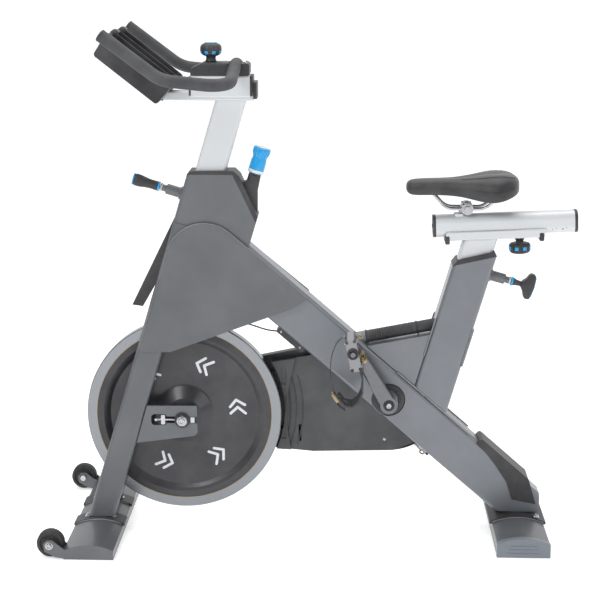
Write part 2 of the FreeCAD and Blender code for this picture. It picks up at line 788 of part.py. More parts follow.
def make_dropouts(axle):
    """Slotted plates welded to the legs, and the axle with a tensioner in each slot."""
    tensioners = []
    for side, sign in SIDES:
        low, high = "dropout_outer-dropout_thickness", "dropout_outer"
        if side == "Left":
            low, high = "0-dropout_outer", "0-dropout_outer+dropout_thickness"
        plate = prism("dropout" + side, None, [
            ("axle_x-86", "axle_height+35"),
            ("axle_x+36", "axle_height+36"),
            ("axle_x+37", "axle_height-32"),
            ("axle_x+30", "axle_height-40"),
            ("axle_x-113", "axle_height-60"),
        ], low, high)
        slot = block("slot" + side, None, ("axle_x-40", "axle_x+60"), ("-200", "200"),
                     ("axle_height-axle_radius-0.5", "axle_height+axle_radius+0.5"))
        keyhole = block("keyhole" + side, None, ("axle_x-76", "axle_x-37"), ("-200", "200"),
                        ("axle_height-14", "axle_height+14"), "y", "9")
        finish("dropout_" + side.lower(),
               cut("dropout_" + side.lower(), plate, slot, keyhole,
                   block("dropout_leg" + side, "Leg" + side,
                         ("0-head_front", "leg_depth-head_front"),
                         ("0", "leg_thickness") if side == "Left" else ("-leg_thickness", "0"),
                         ("0-leg_pivot-axle_height-60", "0"))))
        lug = block("lug" + side, None, ("axle_x-52", "axle_x-42"), (low, high),
                    ("axle_height-12", "axle_height+12"), "y", "2")
        screw = cylinder("tension_screw" + side, None, "axle_x-68", "(%s+%s)/2" % (low, high),
                         "axle_height", "2.8", "70", "x")
        nose = block("nose" + side, None, ("axle_x+20", "axle_x+30"), (low, high),
                     ("axle_height-7", "axle_height+7"))
        tensioners.append(cut("tensioner" + side, fuse("tensioner" + side, lug, screw, nose),
                              cylinder("axle_way" + side, None, "axle_x", "-100",
                                       "axle_height", "17", "200", "y")))
    finish("flywheel_axle", group("flywheel_axle", axle, *tensioners))


def tangent_loop(radius_small, radius_large):
    """The outline of a belt around circles at the axle and at the crank."""
    small = Vector(size("axle_x"), 0, size("axle_height"))
    large = Vector(size("crank_x"), 0, size("crank_height"))
    line = large - small
    tilt = math.atan2(line.z, line.x)
    spread = math.acos((radius_small - radius_large) / line.Length)

    def on(centre, radius, angle):
        return centre + Vector(radius * math.cos(angle), 0, radius * math.sin(angle))
    up, down = tilt + spread, tilt - spread
    edges = [
        Part.LineSegment(on(small, radius_small, up), on(large, radius_large, up)).toShape(),
        Part.Arc(on(large, radius_large, up), on(large, radius_large, tilt),
                 on(large, radius_large, down)).toShape(),
        Part.LineSegment(on(large, radius_large, down),
                         on(small, radius_small, down)).toShape(),
        Part.Arc(on(small, radius_small, down), on(small, radius_small, tilt + math.pi),
                 on(small, radius_small, up)).toShape(),
    ]
    return Part.Wire(edges)


def loop_solid(radius_small, radius_large, low, high):
    face = Part.Face(tangent_loop(radius_small, radius_large))
    face.translate(Vector(0, low, 0))
    return face.extrude(Vector(0, high - low, 0))


def make_belt_drive():
    """The belt, its two guard halves and the large pulley."""
    gap = size("belt_gap")
    thick = size("belt_thickness")
    small, large = size("small_pulley") + gap, size("large_pulley") + gap
    low = size("belt_plane") - size("belt_width") / 2
    high = low + size("belt_width")
    outer = loop_solid(small + thick, large + thick, low, high)
    finish("drive_belt", feature("belt", outer.cut(loop_solid(small, large, low, high))))

    wall = size("guard_wall")
    nose, big = size("guard_nose"), size("guard_radius")
    inside, outside = size("guard_inner"), size("guard_outer")
    tub = loop_solid(nose, big, inside, outside)
    tub = tub.cut(loop_solid(nose - wall, big - wall, inside - 1, outside - wall))
    shell = feature("guard_tub", tub)
    spindle_way = cylinder("guard_hole", None, "crank_x", "0", "crank_height",
                           "spindle_radius+9", "100", "y")
    axle_way = cylinder("guard_axle_hole", None, "axle_x", "30", "axle_height", "20", "60", "y")
    trim = block("guard_front_limit", None, ("axle_x-400", "axle_x-70"), ("0", "100"),
                 ("0", "600"))
    finish("outer_guard", cut("outer_guard", shell, spindle_way, axle_way, trim))

    plate = prism("inner_plate", None, [
        ("axle_x+150", "axle_height+114"),
        ("axle_x+300", "axle_height+140"),
        ("crank_x-60", "crank_height+128"),
        ("crank_x+70", "crank_height+118"),
        ("crank_x+134", "crank_height+40"),
        ("crank_x+134", "crank_height-60"),
        ("crank_x+64", "crank_height-132"),
        ("crank_x+14", "crank_height-151"),
        ("axle_x+318", "crank_height-156"),
        ("axle_x+226", "crank_height-148"),
        ("axle_x+120", "crank_height-146"),
    ], "guard_inner-guard_wall", "guard_inner")
    step = prism("inner_step", None, [
        ("axle_x+150", "axle_height+114"),
        ("axle_x+272", "axle_height+135"),
        ("axle_x+256", "axle_height+60"),
        ("axle_x+252", "axle_height-40"),
        ("axle_x+262", "crank_height-150"),
        ("axle_x+226", "crank_height-148"),
        ("axle_x+120", "crank_height-146"),
    ], "guard_inner-guard_wall-9", "guard_inner-guard_wall")
    slots = [block("guard_slot", None, ("axle_x+281", "axle_x+288"), ("0", "100"),
                   ("crank_height-130", "crank_height-86"), "y", "3.4")]
    for count, height in enumerate(("axle_height+68", "axle_height-4", "axle_height-72")):
        slots.append(block("recess%d" % count, None, ("axle_x+238", "axle_x+250"),
                           ("guard_inner-guard_wall-12", "guard_inner-guard_wall-6"),
                           (height, height + "+42")))
    rim_way = cylinder("guard_rim_hole", None, "axle_x", "-100", "axle_height",
                       "flywheel_radius+guard_clearance", "300", "y")
    hole = cylinder("inner_guard_hole", None, "crank_x", "0", "crank_height",
                    "spindle_radius+9", "100", "y")
    finish("inner_guard", cut("inner_guard", fuse("inner_guard", plate, step),
                              rim_way, hole, *slots))


def make_cranks():
    """Bottom bracket cartridge, spindle, large pulley, arms and pedal axles."""
    half = HALF + "+3"
    shell = turned("shell_body", None, [
        ("spindle_radius+running_gap", "3-" + half), ("22", "3-" + half),
        ("24", "0-" + half), ("shell_radius-2", "0-" + half),
        ("shell_radius", "2-" + half), ("shell_radius", HALF + "-1"),
        ("spindle_radius+running_gap", HALF + "-1"),
    ], "crank_x", "0", "crank_height", "y")
    finish("bracket_shell", shell)
    spindle = cylinder("spindle", None, "crank_x", "0-crank_inner-crank_thickness+2",
                       "crank_height", "spindle_radius",
                       "2*(crank_inner+crank_thickness-2)", "y")
    finish("crank_spindle", spindle)

    web = pulley_outline("large_pulley", "spindle_radius")
    pulley = turned("large_pulley_body", None, web, "crank_x", "belt_plane", "crank_height", "y")
    holes = []
    for number in range(6):
        angle = "%d" % (60 * number)
        holes.append(cylinder("web_hole%d" % number, None,
                              "crank_x+0.6*large_pulley*cos(%s)" % angle, "0",
                              "crank_height+0.6*large_pulley*sin(%s)" % angle,
                              "0.2*large_pulley", "100", "y"))
    finish("crank_pulley", cut("crank_pulley", pulley, *holes))

    for side, sign in SIDES:
        turn = "crank_angle" if side == "Left" else "crank_angle+180"
        where = frame("Crank" + side, "crank_x", "0", "crank_height", "0;1;0", "0-(%s)" % turn)
        low, high = "crank_inner", "crank_inner+crank_thickness"
        if side == "Left":
            low, high = "0-crank_inner-crank_thickness", "0-crank_inner"
        arm = prism("arm" + side, where, [
            ("-14", "-17"), ("8", "-19"), ("crank_length-8", "-12.5"),
            ("crank_length+9", "-9"), ("crank_length+9", "9"),
            ("crank_length-8", "12.5"), ("8", "19"), ("-14", "17"),
        ], low, high)
        round_edges(arm, "4", lambda e: not parallel(DIRECTIONS["y"])(e), "Fillet")
        boss = cylinder("boss" + side, where, "0", low, "0", "21", "crank_thickness", "y")
        reach = "crank_inner+crank_thickness-2" if side == "Right" else (
            "0-crank_inner-crank_thickness-pedal_width-14")
        stud = cylinder("pedal_axle" + side, where, "crank_length", reach, "0",
                        "pedal_axle_radius", "pedal_width+16", "y")
        spindle_way = cylinder("arm_hole" + side, where, "0", "-200", "0",
                               "spindle_radius", "400", "y")
        whole = fuse("crank" + side, arm, boss, stud)
        finish("crank_" + side.lower(), cut("crank_" + side.lower(), whole, spindle_way))


def make_pedals():
    """Platform pedals, each with a toe cage that curls over its front."""
    for side, sign in SIDES:
        turn = "crank_angle" if side == "Left" else "crank_angle+180"
        hang = "78" if side == "Left" else "180+beam_slope"
        where = frame("Pedal" + side, "crank_x+crank_length*cos(%s)" % turn, "0",
                      "crank_height+crank_length*sin(%s)" % turn, "0;1;0", hang)
        low, high = "crank_inner+crank_thickness+4", "crank_inner+crank_thickness+4+pedal_width"
        if side == "Left":
            low, high = "0-(%s)" % high, "0-(%s)" % low
        body = prism("pedal_body" + side, where, [
            ("pedal_front-pedal_length", "-7"),
            ("pedal_front-pedal_length+6", "0-pedal_thickness/2"),
            ("pedal_front-6", "0-pedal_thickness/2"), ("pedal_front", "-7"),
            ("pedal_front", "7"), ("pedal_front-6", "pedal_thickness/2"),
            ("pedal_front-pedal_length+6", "pedal_thickness/2"),
            ("pedal_front-pedal_length", "7"),
        ], low, high)
        round_edges(body, "2.5", parallel(DIRECTIONS["y"]))
        cuts = [cylinder("pedal_bore" + side, where, "0", "-400", "0",
                         "pedal_axle_radius+running_gap", "800", "y")]
        for name, a, b in (("front", "12", "pedal_front-8"),
                           ("back", "pedal_front-pedal_length+8", "-12")):
            cuts.append(block("pedal_%s_window%s" % (name, side), where, (a, b),
                              ("(%s)+9" % low, "(%s)-9" % high), ("-100", "100"), "z", "4"))
        label = "pedal_" + side.lower()
        finish(label, cut(label, body, *cuts))

        face = "pedal_front+0.4"
        outline = [
            (face, "9"), (face + "+26", "11"), (face + "+58", "4"), (face + "+80", "-10"),
            (face + "+88", "-28"), (face + "+82", "-46"), (face + "+60", "-58"),
            (face + "+59", "-54"), (face + "+78", "-44"), (face + "+83.5", "-28"),
            (face + "+76", "-13"), (face + "+56", "0"), (face + "+26", "7"),
            (face + "+3", "5"), (face + "+3", "-9"), (face, "-9"),
        ]
        cage = prism("cage_body" + side, where, outline, "(%s)+12" % low, "(%s)-12" % high)
        slots = block("cage_window" + side, where, (face + "+12", face + "+64"),
                      ("(%s)+28" % low, "(%s)-28" % high), ("-100", "100"), "z", "6")
        label = "toe_cage_" + side.lower()
        finish(label, cut(label, cage, slots))


def make_brake():
    """Resistance rod with its friction pad, the magnet yoke and the knob."""
    pad_low = "flywheel_radius+pad_gap"
    rod = cylinder("rod", "HeadFrame", "0", "0", pad_low + "+14", "rod_radius",
                   "knob_low+30-(%s)-14" % pad_low)
    pad = block("pad", "HeadFrame", ("-14", "14"), ("-12", "12"), (pad_low, pad_low + "+16"),
                "z", "3")
    finish("brake_rod", fuse("brake_rod", rod, pad))

    low = "sqrt(flywheel_radius^2-yoke_place^2)"
    inner = "flywheel_width/2+yoke_gap"
    yoke = block("yoke", "HeadFrame", ("0-yoke_place-20", "20-yoke_place"),
                 ("0-(%s)-7" % inner, inner + "+7"), (low + "-24", low + "+24"), "x", "4")
    way = block("yoke_way", "HeadFrame", ("0-yoke_place-30", "30-yoke_place"),
                ("0-(%s)" % inner, inner), (low + "-40", low + "+16"))
    stem = cylinder("yoke_rod", "HeadFrame", "0-yoke_place", "0", low + "+20", "yoke_stem",
                    "head_low+20-(%s)-20" % low)
    finish("magnet_yoke", fuse("magnet_yoke", cut("yoke", yoke, way), stem))

    knob = turned("knob_body", "HeadFrame", [
        ("rod_radius+running_gap", "knob_low"), ("knob_radius-1", "knob_low"),
        ("knob_radius", "knob_low+2"), ("knob_radius", "knob_low+30"),
        ("knob_radius-2.5", "knob_low+36"), ("knob_radius-2.5", "knob_low+44"),
        ("knob_radius+2", "knob_low+54"), ("knob_radius+2", "knob_high-2"),
        ("knob_radius", "knob_high"), ("0", "knob_high"), ("0", "knob_low+30.5"),
        ("rod_radius+running_gap", "knob_low+30.5"),
    ])
    finish("resistance_knob", knob)


def make_plungers():
    """Spring plungers with pull handles that lock the two posts."""
    pin = [("0", "0-pin_travel"), ("pin_radius", "0-pin_travel"), ("pin_radius", "54")]
    front = pin + [
        ("11.5", "54"), ("12", "58"), ("10.5", "70"), ("11.5", "88"), ("15", "104"),
        ("15.5", "116"), ("14", "plunger_reach"), ("0", "plunger_reach"),
    ]
    item = turned("front_plunger_body", "HeadFrame", front, "0-head_front", "0",
                  "plunger_height", "-x")
    finish("front_plunger", item)
    rear = pin + [("10.5", "54"), ("11", "58"), ("8", "64"), ("6.5", "78"), ("8", "90"),
                  ("0", "90")]
    stem = turned("rear_stem", "SeatFrame", rear, "seat_tube_front+seat_tube_depth", "0",
                  "seat_plunger_height", "x")
    handle = prism("rear_grip", "SeatFrame", [
        ("seat_tube_front+seat_tube_depth+74", "seat_plunger_height-9"),
        ("seat_tube_front+seat_tube_depth+94", "seat_plunger_height-30"),
        ("seat_tube_front+seat_tube_depth+110", "seat_plunger_height-31"),
        ("seat_tube_front+seat_tube_depth+112", "seat_plunger_height+31"),
        ("seat_tube_front+seat_tube_depth+96", "seat_plunger_height+30"),
        ("seat_tube_front+seat_tube_depth+74", "seat_plunger_height+9"),
    ], "-12", "12")
    round_edges(handle, "6", parallel(DIRECTIONS["y"]))
    finish("rear_plunger", fuse("rear_plunger", stem, handle))


def make_handlebar_post():
    """The front post with the rail on its top, and the slider that rides on it."""
    top = "post_top"
    post = block("front_post", "HeadFrame", ("0-post_front", "post_depth-post_front"),
                 ("0-post_width/2", "post_width/2"), ("head_high-post_insert", top),
                 "z", "post_round")
    bore = block("front_post_bore", "HeadFrame",
                 ("0-post_front+post_wall", "post_depth-post_front-post_wall"),
                 ("0-post_width/2+post_wall", "post_width/2-post_wall"),
                 ("head_high-post_insert-10", top + "-30"), "z", "post_round-post_wall")
    rail = block("bar_rail", None, ("rail_front_x", "rail_rear_x"),
                 ("0-rail_half_width", "rail_half_width"), ("rail_low", "rail_low+rail_height"),
                 "x", "3")
    above = block("above_rail", None, ("rail_front_x-100", "rail_rear_x+100"),
                  ("-100", "100"), ("rail_low+rail_height/2", "rail_low+300"))
    holes = index_holes("front_hole", "HeadFrame", "0-post_front-1", "plunger_height", "x")
    trimmed = cut("front_post", post, above, bore)
    finish("handlebar_post", cut("handlebar_post", fuse("handlebar_post", trimmed, rail),
                                 *holes))
    gap = "0.4"
    low = "rail_low+rail_height+" + gap
    slider = block("slider_body", None, ("bar_slider_front", "bar_slider_rear"),
                   ("0-rail_half_width-bar_slider_wall-" + gap,
                    "rail_half_width+bar_slider_wall+" + gap),
                   ("rail_low+6", "bar_slider_high"), "x", "6")
    way = block("slider_way", None, ("bar_slider_front-20", "bar_slider_rear+20"),
                ("0-rail_half_width-" + gap, "rail_half_width+" + gap),
                ("rail_low-20", low))
    finish("handlebar_slider", cut("handlebar_slider", slider, way))
    caps = [
        block("rail_cap_rear", None, ("rail_rear_x", "rail_rear_x+8"),
              ("0-rail_half_width-3", "rail_half_width+3"),
              ("rail_low+4", "rail_low+rail_height+24"), "x", "5"),
        block("rail_cap_front", None, ("rail_front_x-6", "rail_front_x"),
              ("0-rail_half_width-1", "rail_half_width+1"),
              ("rail_low-1", "rail_low+rail_height+1"), "x", "3"),
    ]
    finish("rail_caps", group("rail_caps", *caps))


def index_holes(name, where, across, height, axis):
    """Locating holes up the face of a post, a fixed pitch apart."""
    holes = []
    for number in range(7):
        place = "%s+%d*index_pitch" % (height, number - 5)
        holes.append(cylinder("%s%d" % (name, number), where, across, "0", place,
                              "pin_radius+0.5", "post_wall+3", axis))
    return holes


def make_handlebar():
    """A looped bar: two grips rise forward from level sides joined across the rear."""
    half = size("bar_half_span")
    high = size("bar_slider_high") + size("bar_radius")
    rear = size("bar_cross_x")
    left = [
        Vector(size("bar_tip_x"), -half, size("bar_tip_z")),
        Vector(size("bar_bend_x"), -half, high - size("bar_sag")),
        Vector(rear, -half, high - size("bar_drop")),
    ]
    middle = Vector(rear, 0, high + size("bar_rise"))
    right = [Vector(p.x, -p.y, p.z) for p in reversed(left)]
    bend, corner, crown = size("bar_sweep"), size("bar_bend"), size("bar_crown")
    path = rounded_path(left + [middle] + right, [bend, corner, crown, corner, bend])
    tube = swept_tube(path, size("bar_radius"))
    bar = feature("bar", tube)
    finish("handlebar", bar)
    wide = ("0-rail_half_width-bar_slider_wall", "rail_half_width+bar_slider_wall")
    cover = prism("bar_cover", None, [
        ("bar_slider_front", "bar_slider_high"),
        ("bar_slider_front", "bar_slider_high+cover_height/2"),
        ("bar_slider_front+30", "bar_slider_high+cover_height"),
        ("bar_cross_x-bar_radius", "bar_slider_high+cover_height"),
        ("bar_cross_x-bar_radius", "bar_slider_high"),
    ], *wide)
    round_edges(cover, "8", lambda e: parallel(DIRECTIONS["x"])(e)
                and e.CenterOfMass.z > size("bar_slider_high") + 5)
    saddle = block("bar_clamp", None, ("bar_cross_x-bar_radius-7", "bar_slider_rear-2"), wide,
                   ("bar_slider_high", "bar_slider_high+bar_rise+bar_radius-1"), "y", "5")
    finish("handlebar_clamp", cut("handlebar_clamp", fuse("handlebar_clamp", cover, saddle),
                                  bar))


def rounded_path(points, radii):
    """Straight runs between points, joined by tangent arcs of the given radii."""
    edges = []
    start = points[0]
    for before, corner, after, radius in zip(points, points[1:], points[2:], radii):
        arrive = (corner - before).normalize()
        leave = (after - corner).normalize()
        turn = arrive.getAngle(leave)
        run = radius * math.tan(turn / 2)
        first = corner - arrive * run
        last = corner + leave * run
        inward = (leave - arrive).normalize()
        middle = corner + inward * (radius / math.cos(turn / 2) - radius)
        edges.append(Part.LineSegment(start, first).toShape())
        edges.append(Part.Arc(first, middle, last).toShape())
        start = last
    edges.append(Part.LineSegment(start, points[-1]).toShape())
    return Part.Wire(edges)


def swept_tube(path, radius):
    first = path.Edges[0]
    start = first.valueAt(first.FirstParameter)
    ring = Part.Circle(start, first.tangentAt(first.FirstParameter), radius).toShape()
    return path.makePipeShell([Part.Wire([ring])], True, False)


def make_bar_fittings():
    """The tray between the grips and the clamp knob on the slider."""
    where = frame("TrayFrame", "tray_x", "0", "tray_z", "0;1;0", "tray_tilt")
    wide = "tray_half_width"
    outer = prism("tray_body", where, [
        ("0", "0"), ("0-tray_length", "0"), ("0-tray_length-6", "tray_depth"),
        ("tray_lip", "tray_depth"),
    ], "0-" + wide, wide)
    round_edges(outer, "8", parallel(DIRECTIONS["y"]))
    wells = []
    for name, low, high in (("left", "0-" + wide + "+tray_wall", "-40"),
                            ("middle", "-36", "36"),
                            ("right", "40", wide + "-tray_wall")):
        depth = "tray_depth-22" if name == "middle" else "tray_wall"
        wells.append(block("well_" + name, where, ("tray_wall+3-tray_length", "-4"),
                           (low, high), (depth, "tray_depth+40"), "z", "12"))
    notch = block("tray_notch", None, ("tray_x-60", "tray_x+120"),
                  ("0-rail_half_width-6", "rail_half_width+6"),
                  ("rail_low-80", "rail_low+rail_height+5"))
    finish("bottle_tray", cut("bottle_tray", outer, notch, *wells))

    base = "bar_slider_high+cover_height"
    knob = turned("clamp_knob", None, [
        ("0", base + "+0.5"), ("13", base + "+0.5"), ("11", base + "+8"),
        ("12", base + "+14"), ("17", base + "+15"), ("23", base + "+20"),
        ("25.5", base + "+28"), ("24.5", base + "+38"), ("19", base + "+43"),
        ("0", base + "+44"),
    ], "bar_knob_x", "0", "0")
    finish("handlebar_knob", knob)


def make_seat_post():
    """The seat post with its rail plate, the sloping slider tube and its clamp knob."""
    post = block("rear_post", "SeatFrame",
                 ("seat_post_front", "seat_post_front+seat_post_depth"),
                 ("0-post_width/2", "post_width/2"),
                 ("seat_tube_low-post_insert", "seat_tube_high+60"), "z", "post_round")
    bore = block("rear_post_bore", "SeatFrame",
                 ("seat_post_front+post_wall", "seat_post_front+seat_post_depth-post_wall"),
                 ("0-post_width/2+post_wall", "post_width/2-post_wall"),
                 ("seat_tube_low-post_insert-10", "seat_tube_low-10"),
                 "z", "post_round-post_wall")
    above = block("above_post", "RailFrame", ("-400", "500"), ("-100", "100"), ("-4", "300"))
    plate = block("carriage", "RailFrame", ("23", "258"),
                  ("0-seat_rail_width/2-4.5", "seat_rail_width/2+4.5"), ("-7", "14"), "x", "3")
    groove = block("carriage_way", "RailFrame", ("-100", "500"),
                   ("0-seat_rail_width/2-0.7", "seat_rail_width/2+0.7"), ("-0.8", "100"))
    holes = index_holes("rear_hole", "SeatFrame", "seat_post_front+seat_post_depth+1",
                        "seat_plunger_height", "-x")
    whole = fuse("seat_post", cut("rear_post", post, above, bore),
                 cut("carriage", plate, groove))
    knob_way = cylinder("carriage_hole", "RailFrame", "seat_knob_x", "0", "-20", "6.5", "40")
    finish("seat_post", cut("seat_post", whole, knob_way, *holes))

    tube = block("slider_tube", "RailFrame", ("0", "seat_rail_length"),
                 ("0-seat_rail_width/2", "seat_rail_width/2"), ("0", "seat_rail_height"),
                 "x", "18")
    hollow = block("slider_hollow", "RailFrame", ("-10", "seat_rail_length+10"),
                   ("4-seat_rail_width/2", "seat_rail_width/2-4"),
                   ("4", "seat_rail_height-4"), "x", "14")
    finish("seat_slider", cut("seat_slider", tube, hollow))
    caps = []
    for name, low, high in (("front", "-7", "0"),
                            ("rear", "seat_rail_length", "seat_rail_length+7")):
        caps.append(block("slider_cap_" + name, "RailFrame", (low, high),
                          ("0-seat_rail_width/2-0.3", "seat_rail_width/2+0.3"),
                          ("-0.3", "seat_rail_height+0.5"), "x", "18"))
    finish("slider_caps", group("slider_caps", *caps))
    knob = turned("seat_knob_body", "RailFrame", [
        ("0", "-8"), ("14", "-8"), ("9", "-18"), ("9", "-22"), ("22", "-22"),
        ("26", "-27"), ("26", "-40"), ("21", "-47"), ("0", "-48"),
    ], "seat_knob_x", "0", "0")
    finish("seat_knob", knob)


def make_saddle():
    """The saddle's foot on the slider, and the clamp and rails that tilt on it."""
    slider = nodes["seat_slider"].Base
    foot_base = block("clamp_base", "RailFrame", ("saddle_foot_x-11", "saddle_foot_x+11"),
                      ("-17", "17"), ("seat_rail_height-3", "seat_rail_height+3"), "z", "5")
    neck = cylinder("clamp_neck", None, "saddle_clamp_x-12", "0", "saddle_clamp_z-18",
                    "7", "18")
    lug = cylinder("clamp_lug", None, "saddle_clamp_x", "-10", "saddle_clamp_z", "15", "20",
                   "y")
    lug_way = cylinder("clamp_way", None, "saddle_clamp_x", "-40", "saddle_clamp_z",
                       "clamp_pin+running_gap", "80", "y")
    finish("saddle_post", cut("saddle_post", fuse("saddle_post", foot_base, neck, lug),
                              slider, lug_way))

    pieces = [cylinder("clamp_pin_bar", None, "saddle_clamp_x", "-27", "saddle_clamp_z",
                       "clamp_pin", "54", "y")]
    for sign in (-1, 1):
        low = "10.5" if sign > 0 else "-27"
        pieces.append(cylinder("clamp_jaw", None, "saddle_clamp_x", low, "saddle_clamp_z",
                               "14", "16.5", "y"))
        path = rounded_path([
            Vector(size("saddle_x") + 52, sign * 14, size("saddle_base") + 22),
            Vector(size("saddle_clamp_x") - 50, sign * 20, size("saddle_clamp_z")),
            Vector(size("saddle_clamp_x") + 50, sign * 20, size("saddle_clamp_z")),
            Vector(size("saddle_x") + 222, sign * 42, size("saddle_base") + 26),
        ], [40, 40])
        pieces.append(feature("saddle_rail", swept_tube(path, 3.5)))
    saddle = make_saddle_pad()
    finish("saddle_clamp", cut("saddle_clamp", fuse("saddle_clamp", *pieces), saddle))


def make_saddle_pad():
    """The pad: its plan outline and its side outline taken together."""
    plan = prism("saddle_plan", None, [
        ("saddle_x", "-20"), ("saddle_x+8", "-30"), ("saddle_x+70", "-30"),
        ("saddle_x+130", "-44"), ("saddle_x+180", "4-saddle_width/2"),
        ("saddle_x+225", "0-saddle_width/2"), ("saddle_x+saddle_length-14", "-62"),
        ("saddle_x+saddle_length", "-24"), ("saddle_x+saddle_length", "24"),
        ("saddle_x+saddle_length-14", "62"), ("saddle_x+225", "saddle_width/2"),
        ("saddle_x+180", "saddle_width/2-4"), ("saddle_x+130", "44"),
        ("saddle_x+70", "30"), ("saddle_x+8", "30"), ("saddle_x", "20"),
    ], "saddle_base-60", "saddle_base+120", "z")
    side = prism("saddle_side", None, [
        ("saddle_x-1", "saddle_base+14"), ("saddle_x+10", "saddle_base+4"),
        ("saddle_x+80", "saddle_base+6"), ("saddle_x+130", "saddle_base+4"),
        ("saddle_x+200", "saddle_base-8"), ("saddle_x+saddle_length+1", "saddle_base+16"),
        ("saddle_x+saddle_length+1", "saddle_base+40"),
        ("saddle_x+saddle_length-20", "saddle_base+54"),
        ("saddle_x+205", "saddle_base+58"), ("saddle_x+120", "saddle_base+44"),
        ("saddle_x+60", "saddle_base+42"), ("saddle_x+14", "saddle_base+38"),
        ("saddle_x-1", "saddle_base+26"),
    ], "-200", "200")
    return finish("saddle", common("saddle", plan, side))


def make_sensor(beam_solid):
    """The speed sensor's box under the beam and its cable."""
    box = block("sensor_box", "BeamFrame", ("sensor_x", "sensor_x+82"), ("-16", "16"),
                ("0-beam_bottom-15", "0-beam_bottom"), "y", "3")
    route = [
        Vector(size("axle_x") + 236, 0, size("axle_height") + 210),
        Vector(size("axle_x") + 204, 0, size("axle_height") + 213),
        Vector(size("axle_x") + 172, 0, size("axle_height") + 224),
        Vector(size("axle_x") + 140, 0, size("axle_height") + 233),
        Vector(size("axle_x") + 108, 0, size("axle_height") + 244),
    ]
    radii = [0.45 * (after - corner).Length / math.tan((corner - before).getAngle(after - corner) / 2)
             for before, corner, after in zip(route, route[1:], route[2:])]
    path = rounded_path(route, radii)
    tube = swept_tube(path, size("cable_radius"))
    section = math.pi * size("cable_radius") ** 2
    print("sensor cable arc radii", [round(radius, 1) for radius in radii])
    print("sensor cable volume", round(tube.Volume, 1), "section x length",
          round(section * path.Length, 1))
    cable = feature("cable_tube", tube)
    finish("sensor_cable", cut("sensor_cable", cable, box))
    finish("sensor_unit", box)


def check_document():
    """Stops if any object failed or any sub-part has no valid solid."""
    doc.recompute()
    failed = [o.Name for o in doc.Objects if "Invalid" in o.State or "Error" in o.State]
    if failed:
        raise RuntimeError("failed objects: " + ", ".join(failed))
    for label, item in nodes.items():
        if item.Shape.isNull() or not item.Shape.isValid() or not item.Shape.Solids:
            raise RuntimeError("no valid solid in " + label)


def write_parts():
    os.makedirs("parts", exist_ok=True)
    for label, item in nodes.items():
        item.Shape.exportStep("parts/%s.step" % label)


def main():
    make_frames()
    head, beam_solid = make_main_frame()
    make_legs(head)
    make_panels(head, beam_solid)
    front = make_feet()
    make_wheels(front)
    make_head_trim(head)
    make_seat_trim(beam_solid)
    axle = make_flywheel()
    make_dropouts(axle)
    make_belt_drive()
    make_cranks()
    make_pedals()
    make_brake()
    make_plungers()
    make_handlebar_post()
    make_handlebar()
    make_bar_fittings()
    make_seat_post()
    make_saddle()
    make_sensor(beam_solid)
    check_document()
    write_parts()


main()
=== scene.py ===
"""Finishes an indoor cycling bike: paints its parts and adds the small pieces around them."""

import math
import json

import bmesh
import bpy
from mathutils import Matrix, Vector, noise


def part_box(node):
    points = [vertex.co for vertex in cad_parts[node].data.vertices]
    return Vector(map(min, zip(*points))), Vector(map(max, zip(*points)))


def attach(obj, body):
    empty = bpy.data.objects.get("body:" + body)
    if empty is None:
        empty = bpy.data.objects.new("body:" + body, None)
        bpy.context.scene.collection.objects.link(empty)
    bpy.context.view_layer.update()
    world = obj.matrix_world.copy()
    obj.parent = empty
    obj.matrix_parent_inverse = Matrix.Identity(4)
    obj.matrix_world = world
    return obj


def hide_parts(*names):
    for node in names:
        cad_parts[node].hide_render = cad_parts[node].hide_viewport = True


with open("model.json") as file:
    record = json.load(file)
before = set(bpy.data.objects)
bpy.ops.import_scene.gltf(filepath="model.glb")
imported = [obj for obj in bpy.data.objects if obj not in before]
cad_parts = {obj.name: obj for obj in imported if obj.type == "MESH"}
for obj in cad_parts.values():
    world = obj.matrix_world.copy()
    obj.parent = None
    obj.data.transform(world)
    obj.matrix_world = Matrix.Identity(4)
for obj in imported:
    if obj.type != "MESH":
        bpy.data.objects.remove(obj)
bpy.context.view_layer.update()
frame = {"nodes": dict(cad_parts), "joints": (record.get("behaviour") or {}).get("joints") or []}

bl_info = {
    "name": "Indoor Cycle Finisher",
    "version": (1, 0, 0),
    "blender": (4, 5, 0),
    "location": "View3D > Sidebar > Bike",
    "description": "Paints an indoor cycling bike and adds its trim, straps, saddle and marks",
    "category": "Object",
}

MM = 0.001
Y = Vector((0, 1, 0))
SIDES = (("left", -1), ("right", 1))


# Places -------------------------------------------------------------------------------

def joint(name):
    """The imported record's entry for one joint."""
    return next(item for item in frame["joints"] if item["name"] == name)


def local(origin, up):
    """A frame in millimetres whose z runs along up, with y across the bike."""
    up = Vector(up).normalized()
    across = Y.cross(up)
    turn = Matrix((across, Y, up)).transposed().to_4x4()
    return Matrix.Translation(origin) @ turn @ Matrix.Scale(MM, 4)


def turned(origin, degrees):
    """A frame in millimetres turned about the bike's y axis."""
    spin = Matrix.Rotation(math.radians(degrees), 4, "Y")
    return Matrix.Translation(origin) @ spin @ Matrix.Scale(MM, 4)


